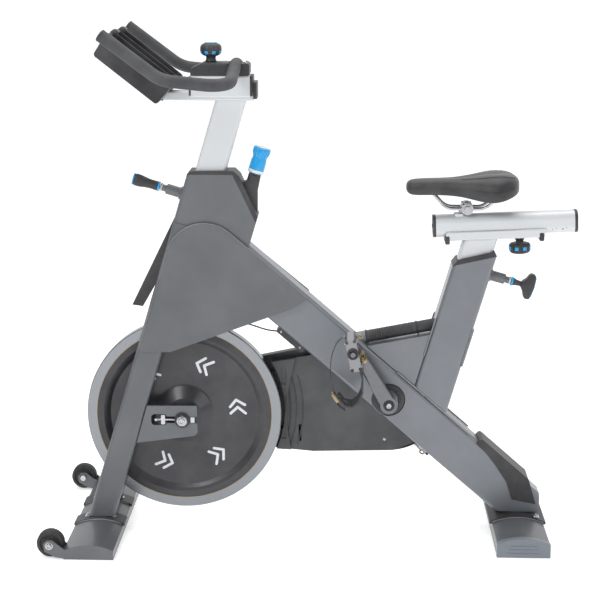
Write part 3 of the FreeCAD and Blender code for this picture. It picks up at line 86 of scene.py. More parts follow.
AXLE = Vector(joint("flywheel_spin")["pos_m"])
CRANK = Vector(joint("crank_spin")["pos_m"])
WORLD = Matrix.Scale(MM, 4)
HEAD = local(AXLE, joint("handlebar_height")["axis"])
SEAT = local(CRANK, joint("seat_height")["axis"])
RAIL = local(joint("seat_knob_turn")["pos_m"], joint("seat_knob_turn")["axis"])
RAIL = RAIL @ Matrix.Translation((-200, 0, 20))
BEAM_ANGLE = 40.8
BEAM = turned(CRANK, BEAM_ANGLE)
CRANK_ANGLE = 120.3
PEDAL_HANG = {"left": 78, "right": 180 + BEAM_ANGLE}
TRAY = turned((-0.347, 0, 1.056), 38)
CAMERA_PLACE = (0.090, -3.590, 1.398)
CAMERA_DOWN = 12.92
CAMERA_PAN = 1.75
CAMERA_ROLL = 0.207


def pedal_frame(side):
    return turned(joint(side + "_pedal_spin")["pos_m"], PEDAL_HANG[side])


def crank_frame(side):
    angle = CRANK_ANGLE + (0 if side == "left" else 180)
    return turned(CRANK, -angle)


def leg_frame(sign):
    """The outer face of one splayed leg."""
    splay = Matrix.Rotation(math.radians(3.43 * sign), 4, "X")
    return HEAD @ Matrix.Translation((0, 33 * sign, 500)) @ splay


# Colours ------------------------------------------------------------------------------

def tone(red, green, blue):
    """Linear colour from everyday 0 to 255 values."""
    def straight(value):
        share = value / 255
        return share / 12.92 if share <= 0.04045 else ((share + 0.055) / 1.055) ** 2.4
    return tuple(straight(value) for value in (red, green, blue))


def colour(label, words, red, green, blue):
    return bpy.props.FloatVectorProperty(name=label, description=words, subtype="COLOR",
                                         size=3, min=0, max=1, default=tone(red, green, blue))


class BikeColours(bpy.types.PropertyGroup):
    """The colours of the bike's finishes."""

    dark_frame: colour("Dark frame", "Powder coat of the head, fork legs and feet",
                       98, 101, 105)
    light_frame: colour("Light frame", "Metallic coat of the beam and seat tube",
                        116, 120, 126)
    silver: colour("Silver", "Metallic paint of the posts and sliders", 178, 183, 191)
    disc: colour("Disc", "Paint of the flywheel's disc", 44, 44, 48)
    mark: colour("Marks", "Chevrons on the flywheel and scale figures", 214, 216, 222)
    trim: colour("Trim", "Black moulded trim", 38, 38, 41)
    guard: colour("Guard", "Moulded belt guard", 66, 67, 70)
    accent: colour("Accent", "Bright parts of the knobs and pins", 0, 158, 224)
    end_cap: colour("End caps", "Moulded caps of the rear foot", 118, 124, 133)
    grip: colour("Grip", "Soft coat of the handlebar", 52, 53, 56)
    saddle: colour("Saddle", "Saddle cover", 40, 40, 43)
    strap: colour("Strap", "Webbing of the toe straps", 30, 30, 32)
    rubber: colour("Rubber", "Wheels, belt and foot pads", 30, 30, 31)


def length(label, words, default, low, high):
    return bpy.props.FloatProperty(name=label, description=words, default=default,
                                   min=low, max=high, unit="LENGTH")


class BikeSizes(bpy.types.PropertyGroup):
    """Sizes of the added trim."""

    chevron_radius: length("Chevron radius", "Middle of the marks from the axle",
                           0.133, 0.09, 0.17)
    strap_width: length("Strap width", "Width of the toe straps", 0.019, 0.01, 0.03)
    bead: length("Weld bead", "Radius of the weld beads", 0.0026, 0.001, 0.006)
    saddle_crown: length("Saddle crown", "How far the cushion's top rises over its edge",
                         0.012, 0.0, 0.03)


class BikeStage(bpy.types.PropertyGroup):
    """Camera and light."""

    lens: bpy.props.FloatProperty(
        name="Lens", description="Focal length of the camera on a 36 mm sensor",
        default=90.97, min=20, max=200)
    light: bpy.props.FloatProperty(
        name="Light", description="Strength of the studio's surroundings",
        default=1.0, min=0, max=5)


def colours():
    return bpy.context.scene.bike_colours


def sizes():
    return bpy.context.scene.bike_sizes


# Shared shader effects ----------------------------------------------------------------

def node_group(name, inputs, outputs):
    """An empty shader group with the named sockets, its two end nodes returned too."""
    group = bpy.data.node_groups.new(name, "ShaderNodeTree")
    for label, kind, value in inputs:
        socket = group.interface.new_socket(label, in_out="INPUT", socket_type=kind)
        if value is not None:
            socket.default_value = value
    for label, kind in outputs:
        group.interface.new_socket(label, in_out="OUTPUT", socket_type=kind)
    return group, group.nodes.new("NodeGroupInput"), group.nodes.new("NodeGroupOutput")


def math_node(tree, operation, first, second=None, clamp=False):
    """One Math node; a number is set on the socket and a socket is linked."""
    node = tree.nodes.new("ShaderNodeMath")
    node.operation = operation
    node.use_clamp = clamp
    for socket, value in zip(node.inputs, (first, second)):
        if isinstance(value, (int, float)):
            socket.default_value = value
        elif value is not None:
            tree.links.new(value, socket)
    return node.outputs[0]


def noise_node(tree, vector, scale, detail=3.0, rough=0.5):
    node = tree.nodes.new("ShaderNodeTexNoise")
    node.inputs["Detail"].default_value = detail
    node.inputs["Roughness"].default_value = rough
    if isinstance(scale, (int, float)):
        node.inputs["Scale"].default_value = scale
    else:
        tree.links.new(scale, node.inputs["Scale"])
    tree.links.new(vector, node.inputs["Vector"])
    return node.outputs["Fac"]


def spread_node(tree, value, low, high, to_low=0.0, to_high=1.0):
    """A clamped Map Range node."""
    node = tree.nodes.new("ShaderNodeMapRange")
    tree.links.new(value, node.inputs["Value"])
    names = ("From Min", "From Max", "To Min", "To Max")
    for label, number in zip(names, (low, high, to_low, to_high)):
        if isinstance(number, (int, float)):
            node.inputs[label].default_value = number
        else:
            tree.links.new(number, node.inputs[label])
    return node.outputs["Result"]


def make_grain_group():
    """Fine surface grain: a height for bump and a slow patchiness for colour and gloss."""
    group, start, end = node_group(
        "Grain", [("Vector", "NodeSocketVector", None), ("Scale", "NodeSocketFloat", 900.0)],
        [("Height", "NodeSocketFloat"), ("Patches", "NodeSocketFloat")])
    fine = noise_node(group, start.outputs["Vector"], start.outputs["Scale"], 2.0, 0.6)
    slow = noise_node(group, start.outputs["Vector"], 9.0, 5.0, 0.6)
    group.links.new(fine, end.inputs["Height"])
    group.links.new(spread_node(group, slow, 0.35, 0.65), end.inputs["Patches"])
    return group


def make_edge_group():
    """Softened corners, and a mask of where the corners are rubbed."""
    group, start, end = node_group(
        "Rubbed edges",
        [("Vector", "NodeSocketVector", None), ("Amount", "NodeSocketFloat", 0.5)],
        [("Normal", "NodeSocketVector"), ("Mask", "NodeSocketFloat")])
    soft = group.nodes.new("ShaderNodeBevel")
    soft.samples = 4
    soft.inputs["Radius"].default_value = 0.0012
    shape = group.nodes.new("ShaderNodeNewGeometry")
    match = group.nodes.new("ShaderNodeVectorMath")
    match.operation = "DOT_PRODUCT"
    group.links.new(soft.outputs[0], match.inputs[0])
    group.links.new(shape.outputs["Normal"], match.inputs[1])
    corner = spread_node(group, match.outputs["Value"], 0.995, 0.85)
    broken = noise_node(group, start.outputs["Vector"], 140.0, 4.0, 0.7)
    rubbed = math_node(group, "MULTIPLY", corner, spread_node(group, broken, 0.42, 0.62))
    mask = math_node(group, "MULTIPLY", rubbed, start.outputs["Amount"], clamp=True)
    group.links.new(soft.outputs[0], end.inputs["Normal"])
    group.links.new(mask, end.inputs["Mask"])
    return group


def make_ring_group():
    """Fine turned lines around an axis through Centre, for faced and turned metal."""
    group, start, end = node_group(
        "Turned lines",
        [("Vector", "NodeSocketVector", None), ("Centre", "NodeSocketVector", None),
         ("Scale", "NodeSocketFloat", 1500.0)],
        [("Height", "NodeSocketFloat"), ("Radius", "NodeSocketFloat")])
    shift = group.nodes.new("ShaderNodeVectorMath")
    shift.operation = "SUBTRACT"
    group.links.new(start.outputs["Vector"], shift.inputs[0])
    group.links.new(start.outputs["Centre"], shift.inputs[1])
    split = group.nodes.new("ShaderNodeSeparateXYZ")
    group.links.new(shift.outputs[0], split.inputs[0])
    flat = group.nodes.new("ShaderNodeCombineXYZ")
    group.links.new(split.outputs["X"], flat.inputs["X"])
    group.links.new(split.outputs["Z"], flat.inputs["Y"])
    length = group.nodes.new("ShaderNodeVectorMath")
    length.operation = "LENGTH"
    group.links.new(flat.outputs[0], length.inputs[0])
    radius = length.outputs["Value"]
    line = group.nodes.new("ShaderNodeTexNoise")
    line.noise_dimensions = "2D"
    pair = group.nodes.new("ShaderNodeCombineXYZ")
    group.links.new(radius, pair.inputs["X"])
    group.links.new(split.outputs["Y"], pair.inputs["Y"])
    group.links.new(pair.outputs[0], line.inputs["Vector"])
    group.links.new(start.outputs["Scale"], line.inputs["Scale"])
    group.links.new(line.outputs["Fac"], end.inputs["Height"])
    group.links.new(radius, end.inputs["Radius"])
    return group


def make_cells_group():
    """Rounded pebbles, for embossed covers and soft dipped coats."""
    group, start, end = node_group(
        "Pebbles", [("Vector", "NodeSocketVector", None), ("Scale", "NodeSocketFloat", 500.0)],
        [("Height", "NodeSocketFloat")])
    cells = group.nodes.new("ShaderNodeTexVoronoi")
    cells.feature = "SMOOTH_F1"
    cells.inputs["Smoothness"].default_value = 0.4
    group.links.new(start.outputs["Vector"], cells.inputs["Vector"])
    group.links.new(start.outputs["Scale"], cells.inputs["Scale"])
    rounded = spread_node(group, cells.outputs["Distance"], 0.15, 0.75, 1.0, 0.0)
    group.links.new(rounded, end.inputs["Height"])
    return group


def make_weave_group():
    """Crossed threads for webbing, from a strap's own length and width coordinates."""
    group, start, end = node_group(
        "Webbing", [("Vector", "NodeSocketVector", None)], [("Height", "NodeSocketFloat")])
    split = group.nodes.new("ShaderNodeSeparateXYZ")
    group.links.new(start.outputs["Vector"], split.inputs[0])
    slant = math_node(group, "ADD", split.outputs["X"], split.outputs["Y"])
    other = math_node(group, "SUBTRACT", split.outputs["X"], split.outputs["Y"])
    waves = []
    for direction in (slant, other):
        turns = math_node(group, "MULTIPLY", direction, 2600.0)
        waves.append(math_node(group, "SINE", turns))
    height = math_node(group, "MAXIMUM", waves[0], waves[1])
    group.links.new(spread_node(group, height, -1.0, 1.0), end.inputs["Height"])
    return group


GROUPS = {}
GROUP_MAKERS = {
    "grain": make_grain_group,
    "edges": make_edge_group,
    "rings": make_ring_group,
    "pebbles": make_cells_group,
    "webbing": make_weave_group,
}


def group_node(tree, name):
    if name not in GROUPS:
        GROUPS[name] = GROUP_MAKERS[name]()
    node = tree.nodes.new("ShaderNodeGroup")
    node.node_tree = GROUPS[name]
    return node


# Materials ----------------------------------------------------------------------------

def mix_colour(tree, mask, first, second):
    node = tree.nodes.new("ShaderNodeMix")
    node.data_type = "RGBA"
    tree.links.new(mask, node.inputs["Factor"])
    for socket, value in ((node.inputs[6], first), (node.inputs[7], second)):
        if isinstance(value, bpy.types.NodeSocket):
            tree.links.new(value, socket)
        else:
            socket.default_value = (*value, 1.0)
    return node.outputs[2]


def lighter(shade, share):
    """A colour moved towards white, or towards black where share is negative."""
    if share < 0:
        return tuple(value * (1 + share) for value in shade)
    return tuple(value + (1 - value) * share for value in shade)


def surface(name, shade, rough, metallic=0.0, coat=0.0, grain=900.0, bump=0.06, spread=0.06,
            patch=0.1, rubbed=0.4, rubbed_shade=None, pattern="grain", sheen=0.0,
            specular=0.5, depth=0.0003, centre=None):
    """A finish with grain, patchy gloss, and corners softened and rubbed."""
    if name in bpy.data.materials:
        return bpy.data.materials[name]
    material = bpy.data.materials.new(name)
    material.use_nodes = True
    tree = material.node_tree
    shader = tree.nodes["Principled BSDF"]
    place = tree.nodes.new("ShaderNodeTexCoord").outputs["Object"]
    grain_node = group_node(tree, "grain")
    tree.links.new(place, grain_node.inputs["Vector"])
    grain_node.inputs["Scale"].default_value = grain
    edge_node = group_node(tree, "edges")
    tree.links.new(place, edge_node.inputs["Vector"])
    edge_node.inputs["Amount"].default_value = rubbed
    patches = grain_node.outputs["Patches"]
    base = mix_colour(tree, patches, lighter(shade, -patch), lighter(shade, patch * 0.35))
    worn = rubbed_shade or lighter(shade, 0.35)
    painted = mix_colour(tree, edge_node.outputs["Mask"], base, worn)
    tree.links.new(painted, shader.inputs["Base Color"])
    gloss = spread_node(tree, patches, 0.0, 1.0, rough - spread / 2, rough + spread / 2)
    tree.links.new(gloss, shader.inputs["Roughness"])
    height = grain_node.outputs["Height"]
    if pattern != "grain":
        extra = group_node(tree, pattern)
        tree.links.new(place, extra.inputs["Vector"])
        if pattern == "rings":
            extra.inputs["Centre"].default_value = centre
        if pattern == "pebbles":
            extra.inputs["Scale"].default_value = grain
        height = extra.outputs["Height"]
    relief = tree.nodes.new("ShaderNodeBump")
    relief.inputs["Strength"].default_value = bump
    relief.inputs["Distance"].default_value = depth
    tree.links.new(height, relief.inputs["Height"])
    tree.links.new(edge_node.outputs["Normal"], relief.inputs["Normal"])
    tree.links.new(relief.outputs["Normal"], shader.inputs["Normal"])
    shader.inputs["Metallic"].default_value = metallic
    shader.inputs["Coat Weight"].default_value = coat
    shader.inputs["Coat Roughness"].default_value = 0.18
    shader.inputs["Sheen Weight"].default_value = sheen
    shader.inputs["Sheen Roughness"].default_value = 0.4
    shader.inputs["Specular IOR Level"].default_value = specular
    return material


def dark_paint():
    return surface("dark_powder_coat", colours().dark_frame, 0.42, metallic=0.35, coat=0.25,
                   grain=1400, bump=0.16, patch=0.06, rubbed=0.3)


def light_paint():
    return surface("light_metallic_coat", colours().light_frame, 0.36, metallic=0.45,
                   coat=0.35, grain=1800, bump=0.12, patch=0.05, rubbed=0.3)


def silver_paint():
    return surface("silver_paint", colours().silver, 0.34, metallic=0.55, coat=0.3,
                   grain=2200, bump=0.1, patch=0.05, rubbed=0.3)


def disc_paint():
    return surface("disc_paint", colours().disc, 0.36, metallic=0.2, coat=0.3, grain=1600,
                   bump=0.1, patch=0.08, rubbed=0.25, pattern="rings", centre=AXLE)


def chrome():
    # The base colour sits darker than real chrome to stand in for dark reflections on the rim: a
    # painted reflection.
    return surface("rim_chrome", tone(138, 141, 145), 0.24, metallic=1.0, bump=0.12,
                   spread=0.08, patch=0.05, rubbed=0.0, pattern="rings", centre=AXLE)


def dark_chrome():
    return surface("crank_plating", tone(112, 113, 117), 0.2, metallic=1.0, grain=300,
                   bump=0.03, spread=0.1, patch=0.12, rubbed=0.2)


def steel():
    return surface("bright_steel", tone(186, 187, 190), 0.24, metallic=1.0, grain=700,
                   bump=0.06, spread=0.12, patch=0.12, rubbed=0.2)


def brass():
    return surface("gilt_steel", tone(158, 140, 106), 0.32, metallic=1.0, grain=700,
                   bump=0.05, spread=0.1, patch=0.12, rubbed=0.2)


def trim():
    return surface("black_trim", colours().trim, 0.46, grain=1300, bump=0.3, patch=0.1,
                   rubbed=0.35, rubbed_shade=tone(92, 92, 96))


def guard_plastic():
    return surface("guard_moulding", colours().guard, 0.44, grain=1100, bump=0.34,
                   patch=0.1, rubbed=0.4, rubbed_shade=tone(120, 121, 125))


def accent():
    return surface("accent_plastic", colours().accent, 0.3, coat=0.3, grain=1200, bump=0.1,
                   patch=0.06, rubbed=0.25)


def white_plastic():
    return surface("white_plastic", tone(226, 228, 230), 0.34, grain=1200, bump=0.1,
                   patch=0.04, rubbed=0.1)


def red_plastic():
    return surface("red_mark", tone(206, 48, 58), 0.36, grain=1200, bump=0.05, patch=0.04,
                   rubbed=0.0)


def cap_plastic():
    return surface("cap_moulding", colours().end_cap, 0.4, grain=1300, bump=0.2, patch=0.05,
                   rubbed=0.3)


def grip_coat():
    return surface("dipped_grip", colours().grip, 0.62, grain=620, bump=0.75, patch=0.12,
                   rubbed=0.0, pattern="pebbles", depth=0.0004)


def saddle_cover():
    return surface("saddle_cover", colours().saddle, 0.5, grain=420, bump=0.5, patch=0.12,
                   rubbed=0.0, pattern="pebbles", sheen=0.15, depth=0.0004)


def rubber():
    return surface("moulded_rubber", colours().rubber, 0.6, grain=1000, bump=0.25,
                   patch=0.15, rubbed=0.4, rubbed_shade=tone(70, 70, 70))


def pedal_alloy():
    return surface("pedal_alloy", tone(52, 53, 56), 0.36, metallic=0.6, grain=900, bump=0.12,
                   patch=0.12, rubbed=0.6, rubbed_shade=tone(150, 150, 152))


def mark_paint():
    return surface("mark_paint", colours().mark, 0.34, metallic=0.4, grain=1200, bump=0.04,
                   patch=0.04, rubbed=0.0)


def ink():
    return surface("scale_ink", tone(46, 46, 50), 0.5, grain=1200, bump=0.03, patch=0.05,
                   rubbed=0.0)


def weld():
    return surface("weld_bead", lighter(colours().light_frame, 0.06), 0.34, metallic=0.5,
                   coat=0.4, grain=260, bump=0.5, patch=0.1, rubbed=0.2)


def dark_weld():
    return surface("dark_weld_bead", lighter(colours().dark_frame, 0.04), 0.36, metallic=0.4,
                   coat=0.4, grain=260, bump=0.5, patch=0.1, rubbed=0.2)


def webbing():
    """Woven strap, patterned along its own length."""
    if "toe_strap_webbing" in bpy.data.materials:
        return bpy.data.materials["toe_strap_webbing"]
    material = surface("toe_strap_webbing", colours().strap, 0.62, bump=0.6, patch=0.1,
                       rubbed=0.0, pattern="webbing", sheen=0.3, depth=0.0005)
    tree = material.node_tree
    weave = next(n for n in tree.nodes if getattr(n, "node_tree", None) == GROUPS["webbing"])
    own = tree.nodes.new("ShaderNodeUVMap")
    own.uv_map = "along"
    tree.links.new(own.outputs[0], weave.inputs["Vector"])
    return material


# Shapes -------------------------------------------------------------------------------

def moved(bm, old, at):
    """Applies a transform to everything added since old was taken."""
    fresh = [v for v in bm.verts if v not in old]
    bmesh.ops.transform(bm, matrix=at, verts=fresh)
    return fresh


def facing(axis, centre=(0, 0, 0)):
    """A transform that lays a shape's z along an axis and moves it to centre."""
    turn = Vector((0, 0, 1)).rotation_difference(Vector(axis)).to_matrix().to_4x4()
    return Matrix.Translation(centre) @ turn


def lathe(bm, outline, at=Matrix(), steps=48):
    """Spins (radius, height) points about z."""
    old = set(bm.verts)
    chain = [bm.verts.new((radius, 0, height)) for radius, height in outline]
    edges = [bm.edges.new(pair) for pair in zip(chain, chain[1:])]
    bmesh.ops.spin(bm, geom=chain + edges, axis=(0, 0, 1), cent=(0, 0, 0),
                   angle=math.tau, steps=steps, use_merge=True)
    fresh = [v for v in bm.verts if v not in old]
    bmesh.ops.remove_doubles(bm, verts=fresh, dist=0.0005)
    return moved(bm, old, at)


def bevelled(bm, verts, width, segments=2):
    edges = [e for e in {e for v in verts for e in v.link_edges}
             if len(e.link_faces) == 2 and e.calc_face_angle(0) > 0.5]
    bmesh.ops.bevel(bm, geom=edges, offset=width, segments=segments, profile=0.5,
                    affect="EDGES", material=-1, clamp_overlap=True)


def slab(bm, size, at=Matrix(), bevel=0.0, segments=2):
    """A box of the given size about the origin, its edges rounded."""
    old = set(bm.verts)
    made = bmesh.ops.create_cube(bm, size=1.0)
    bmesh.ops.scale(bm, vec=size, verts=made["verts"])
    if bevel:
        bevelled(bm, made["verts"], bevel, segments)
    return moved(bm, old, at)


def slice_of(bm, outline, low, high, at=Matrix(), bevel=0.0, segments=2):
    """An outline in x and z, filled and carried from y low to y high."""
    old = set(bm.verts)
    face = bm.faces.new([bm.verts.new((x, low, z)) for x, z in outline])
    made = bmesh.ops.extrude_face_region(bm, geom=[face])
    fresh = [item for item in made["geom"] if isinstance(item, bmesh.types.BMVert)]
    bmesh.ops.translate(bm, vec=(0, high - low, 0), verts=fresh)
    if bevel:
        bevelled(bm, [v for v in bm.verts if v not in old], bevel, segments)
    return moved(bm, old, at)


def capsule(start, end, radius, steps=7):
    """The outline of a stroke with round ends."""
    start, end = Vector(start), Vector(end)
    heading = math.atan2((end - start).y, (end - start).x)
    points = []
    for centre, first in ((end, heading - math.pi / 2), (start, heading + math.pi / 2)):
        for step in range(steps + 1):
            angle = first + math.pi * step / steps
            points.append((centre.x + radius * math.cos(angle),
                           centre.y + radius * math.sin(angle)))
    return points


def frames_along(points, closed=False):
    """Turns a list of points into transforms whose z runs along the line."""
    points = [Vector(p) for p in points]
    total = len(points)
    result = []
    for index, point in enumerate(points):
        if closed:
            ahead, behind = points[(index + 1) % total], points[index - 1]
        else:
            ahead, behind = points[min(index + 1, total - 1)], points[max(index - 1, 0)]
        heading = (ahead - behind).normalized()
        side = Y - heading * Y.dot(heading)
        if side.length < 0.2:
            side = Vector((0, 0, 1)) - heading * heading.z
        side.normalize()
        turn = Matrix((side.cross(heading), side, heading)).transposed().to_4x4()
        result.append(Matrix.Translation(point) @ turn)
    return result


def sweep(bm, points, radius, sides=10, closed=False, flat=1.0):
    """A round or flattened tube along points; radius may be one number or one per point."""
    rings = []
    places = frames_along(points, closed)
    radii = radius if isinstance(radius, (list, tuple)) else [radius] * len(places)
    for place, size in zip(places, radii):
        ring = bmesh.ops.create_circle(bm, cap_ends=False, segments=sides, radius=size,
                                       matrix=place @ Matrix.Diagonal((flat, 1, 1, 1)))
        rings.append(ring["verts"])
    pairs = list(zip(rings, rings[1:]))
    if closed:
        pairs.append((rings[-1], rings[0]))
    for first, second in pairs:
        for step in range(sides):
            other = (step + 1) % sides
            bm.faces.new((first[step], first[other], second[other], second[step]))
    if not closed:
        bm.faces.new(rings[0])
        bm.faces.new(list(reversed(rings[-1])))
    return [v for ring in rings for v in ring]


def ribbon(bm, points, width, thick, edge_wear=0.6):
    """A flat strap along points with its width across the bike, and its own UV map."""
    layer = bm.loops.layers.uv.get("along") or bm.loops.layers.uv.new("along")
    half, rise = width / 2, thick / 2
    section = [(-rise, -half + edge_wear), (-rise, half - edge_wear), (-rise * 0.4, half),
               (rise * 0.4, half), (rise, half - edge_wear), (rise, -half + edge_wear),
               (rise * 0.4, -half), (-rise * 0.4, -half)]
    rings, lengths, run = [], [], 0.0
    places = frames_along(points)
    for index, place in enumerate(places):
        if index:
            run += (place.translation - places[index - 1].translation).length
        lengths.append(run)
        rings.append([bm.verts.new(place @ Vector((x, y, 0))) for x, y in section])
    for index in range(len(rings) - 1):
        for step in range(len(section)):
            other = (step + 1) % len(section)
            corners = ((index, step), (index, other), (index + 1, other), (index + 1, step))
            face = bm.faces.new([rings[a][b] for a, b in corners])
            for loop, (a, b) in zip(face.loops, corners):
                loop[layer].uv = (lengths[a] * MM, section[b][1] * MM)
    for ring in (rings[0], list(reversed(rings[-1]))):
        bm.faces.new(ring)


def smooth_line(points, steps=6):
    """Points eased into a curve through them."""
    points = [Vector(p) for p in points]
    padded = [points[0] * 2 - points[1], *points, points[-1] * 2 - points[-2]]
    line = []
    for a, b, c, d in zip(padded, padded[1:], padded[2:], padded[3:]):
        for step in range(steps):
            t = step / steps
            line.append(0.5 * ((2 * b) + (c - a) * t + (2 * a - 5 * b + 4 * c - d) * t * t
                               + (3 * b - a - 3 * c + d) * t ** 3))
    line.append(points[-1])
    return line


def arc(centre, radius, start, end, steps=24):
    """Points (x, z) round a centre, from one angle to another in degrees."""
    result = []
    for step in range(steps + 1):
        angle = math.radians(start + (end - start) * step / steps)
        result.append((centre[0] + radius * math.cos(angle),
                       centre[1] + radius * math.sin(angle)))
    return result


def hex_head(bm, at, across=10.0, high=5.0):
    """A bolt head with a hexagon socket, standing on its origin along z."""
    lathe(bm, [(0, 0), (across * 0.62, 0), (across * 0.62, high * 0.75),
               (across * 0.56, high), (across * 0.36, high), (across * 0.33, high * 0.9),
               (across * 0.33, high * 0.45), (0, high * 0.4)], at, 24)


def pan_screw(bm, at, radius=3.6, high=1.8):
    """A domed screw head with a cross recess."""
    lathe(bm, [(0, high), (radius * 0.45, high * 0.94), (radius * 0.8, high * 0.7),
               (radius, high * 0.25), (radius, 0), (0, 0)], at, 20)
    for turn in (45, 135):
        slab(bm, (radius * 1.0, radius * 0.22, 0.3),
             at @ Matrix.Translation((0, 0, high)) @ Matrix.Rotation(math.radians(turn), 4, "Z"))


def washer(bm, at, inner, outer, thick):
    lathe(bm, [(inner, 0), (outer - 0.4, 0), (outer, 0.4), (outer, thick - 0.4),
               (outer - 0.4, thick), (inner, thick), (inner, 0)], at, 32)


def bead(bm, points, radius, seed):
    """A weld bead with overlapping ripples, its ends tapered."""
    length = sum((Vector(b) - Vector(a)).length for a, b in zip(points, points[1:]))
    count = max(8, int(length / 1.4))
    line, radii = [], []
    travel = [0.0]
    for a, b in zip(points, points[1:]):
        travel.append(travel[-1] + (Vector(b) - Vector(a)).length)
    for step in range(count + 1):
        where = length * step / count
        index = max(i for i, t in enumerate(travel[:-1]) if t <= where + 1e-6)
        share = (where - travel[index]) / (travel[index + 1] - travel[index])
        line.append(Vector(points[index]).lerp(Vector(points[index + 1]), share))
        ripple = 0.86 + 0.16 * abs(math.sin(where * 0.75)) + 0.06 * noise.noise((where, seed, 0))
        taper = min(1.0, 0.35 + where / 6, 0.35 + (length - where) / 6)
        radii.append(radius * ripple * taper)
    sweep(bm, line, radii, 8)


def piece(name, bm, place, material, body, smooth=35.0, subdivide=0, keep=False):
    """Turns a bmesh drawn in a frame's millimetres into a finished piece on a body."""
    if not keep:
        bmesh.ops.remove_doubles(bm, verts=bm.verts, dist=0.0004)
    bmesh.ops.transform(bm, matrix=place, verts=bm.verts)
    bmesh.ops.recalc_face_normals(bm, faces=bm.faces)
    mesh = bpy.data.meshes.new(name)
    bm.to_mesh(mesh)
    bm.free()
    mesh.materials.append(material)
    mesh.shade_smooth()
    mesh.set_sharp_from_angle(angle=math.radians(smooth))
    item = bpy.data.objects.new(name, mesh)
    bpy.context.scene.collection.objects.link(item)
    if subdivide:
        rounder = item.modifiers.new("Rounder", "SUBSURF")
        rounder.levels = subdivide
        rounder.render_levels = subdivide
    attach(item, body)
    return item


# Painted parts ------------------------------------------------------------------------

NODE_FINISHES = (
    (dark_paint, ("head_column", "leg_left", "leg_right", "side_panel_left",
                  "side_panel_right", "front_stabiliser", "rear_stabiliser",
                  "wheel_brackets", "plunger_bosses",
                  "dropout_left", "dropout_right")),
    (light_paint, ("main_beam", "seat_column", "seat_gusset", "bracket_shell")),
    (silver_paint, ("handlebar_post", "handlebar_slider", "seat_post", "seat_slider",
                    "saddle_post")),
    (chrome, ("flywheel_rim",)),
    (disc_paint, ("flywheel_disc",)),
    (steel, ("flywheel_axle", "flywheel_pulley", "crank_spindle", "brake_rod",
             "magnet_yoke", "saddle_clamp")),
    (dark_chrome, ("crank_left", "crank_right")),
    (trim, ("stabiliser_saddles", "column_cap", "mudguard", "seat_collar", "rear_cover",
            "sensor_unit", "crank_pulley", "rail_caps", "handlebar_clamp", "bottle_tray",
            "slider_caps", "toe_cage_left", "toe_cage_right")),
    (guard_plastic, ("inner_guard", "outer_guard")),
    (cap_plastic, ("rear_end_caps",)),
    (grip_coat, ("handlebar", "carry_handle")),
    (pedal_alloy, ("pedal_left", "pedal_right")),
    (rubber, ("drive_belt", "sensor_cable", "wheel_left", "wheel_right")),
)


class BIKE_OT_paint(bpy.types.Operator):
    """Gives every carried part its finish"""

    bl_idname = "bike.paint"
    bl_label = "Paint the parts"

    def execute(self, context):
        for finish, names in NODE_FINISHES:
            for name in names:
                node = frame["nodes"][name]
                node.data.materials.clear()
                node.data.materials.append(finish())
        return {"FINISHED"}


class BIKE_OT_flywheel(bpy.types.Operator):
    """Adds the flywheel's chevrons, rim line, washers and bolts"""

    bl_idname = "bike.flywheel"
    bl_label = "Flywheel trim"

    def execute(self, context):
        middle = sizes().chevron_radius / MM
        bm = bmesh.new()
        for side in (-1, 1):
            face = 8.0 * side
            for number in range(6):
                angle = math.radians(9 + 60 * number)
                for reach in (-9.5, 9.5):
                    tip = angle + (reach + 7) / middle
                    tail = angle + (reach - 9) / middle
                    for rise, high in ((-18.5, 0.8), (18.5, 0.9)):
                        ends = [((middle + part) * math.cos(turn),
                                 (middle + part) * math.sin(turn))
                                for part, turn in ((0, tip), (rise, tail))]
                        slice_of(bm, capsule(*ends, 3.3), face, face + high * side)
        piece("flywheel_chevrons", bm, Matrix.Translation(AXLE) @ WORLD, mark_paint(),
              "flywheel")

        bm = bmesh.new()
        for side in (-1, 1):
            at = facing((0, side, 0))
            lathe(bm, [(215.2, 14.6), (215.2, 15.2), (216.6, 15.2), (216.8, 14.6)], at, 160)
        piece("flywheel_rings", bm, Matrix.Translation(AXLE) @ WORLD, brass(), "flywheel")

        bm = bmesh.new()
        for side in (-1, 1):
            at = facing((0, side, 0), (0, 62 * side, 0))
            washer(bm, at @ Matrix.Translation((0, 0, 1.8)), 8.2, 19, 2.4)
            washer(bm, at @ Matrix.Translation((0, 0, 4.2)), 8.2, 15.4, 2.6)
        piece("axle_washers", bm, Matrix.Translation(AXLE) @ WORLD, trim(), "frame")
        bm = bmesh.new()
        for side in (-1, 1):
            at = facing((0, side, 0), (0, 68 * side, 0))
            lathe(bm, [(8.3, 0), (12.6, 0), (13.6, 1), (13.6, 6), (12.8, 7), (10.4, 7.6),
                       (8.3, 7.6)], at, 6)
            lathe(bm, [(0, 6), (8, 6), (8, 9.5), (7, 10.6), (4.4, 10.6), (4.1, 8), (0, 8)],
                  at, 32)
            screw = facing((-1, 0, 0), (-62, 59 * side, 0))
            lathe(bm, [(0, 0), (5.2, 0), (5.6, 1), (5.6, 4.4), (5, 5), (0, 5)], screw, 6)
        piece("axle_bolts", bm, Matrix.Translation(AXLE) @ WORLD, steel(), "frame")
        return {"FINISHED"}


def scalloped(bm, outline, lobes, depth, low, high, at=Matrix(), steps=96):
    """A turned knob whose side is scalloped between two heights."""
    fresh = lathe(bm, outline, Matrix(), steps)
    for vert in fresh:
        reach = math.hypot(vert.co.x, vert.co.y)
        if reach < 1e-3:
            continue
        inside = min(1.0, max(0.0, (vert.co.z - low) / 2), max(0.0, (high - vert.co.z) / 2))
        angle = math.atan2(vert.co.y, vert.co.x)
        dip = depth * inside * max(0.0, math.cos(lobes * angle)) ** 2
        bmesh.ops.translate(bm, vec=Vector((vert.co.x, vert.co.y, 0)) * (-dip / reach),
                            verts=[vert])
    bmesh.ops.transform(bm, matrix=at, verts=fresh)


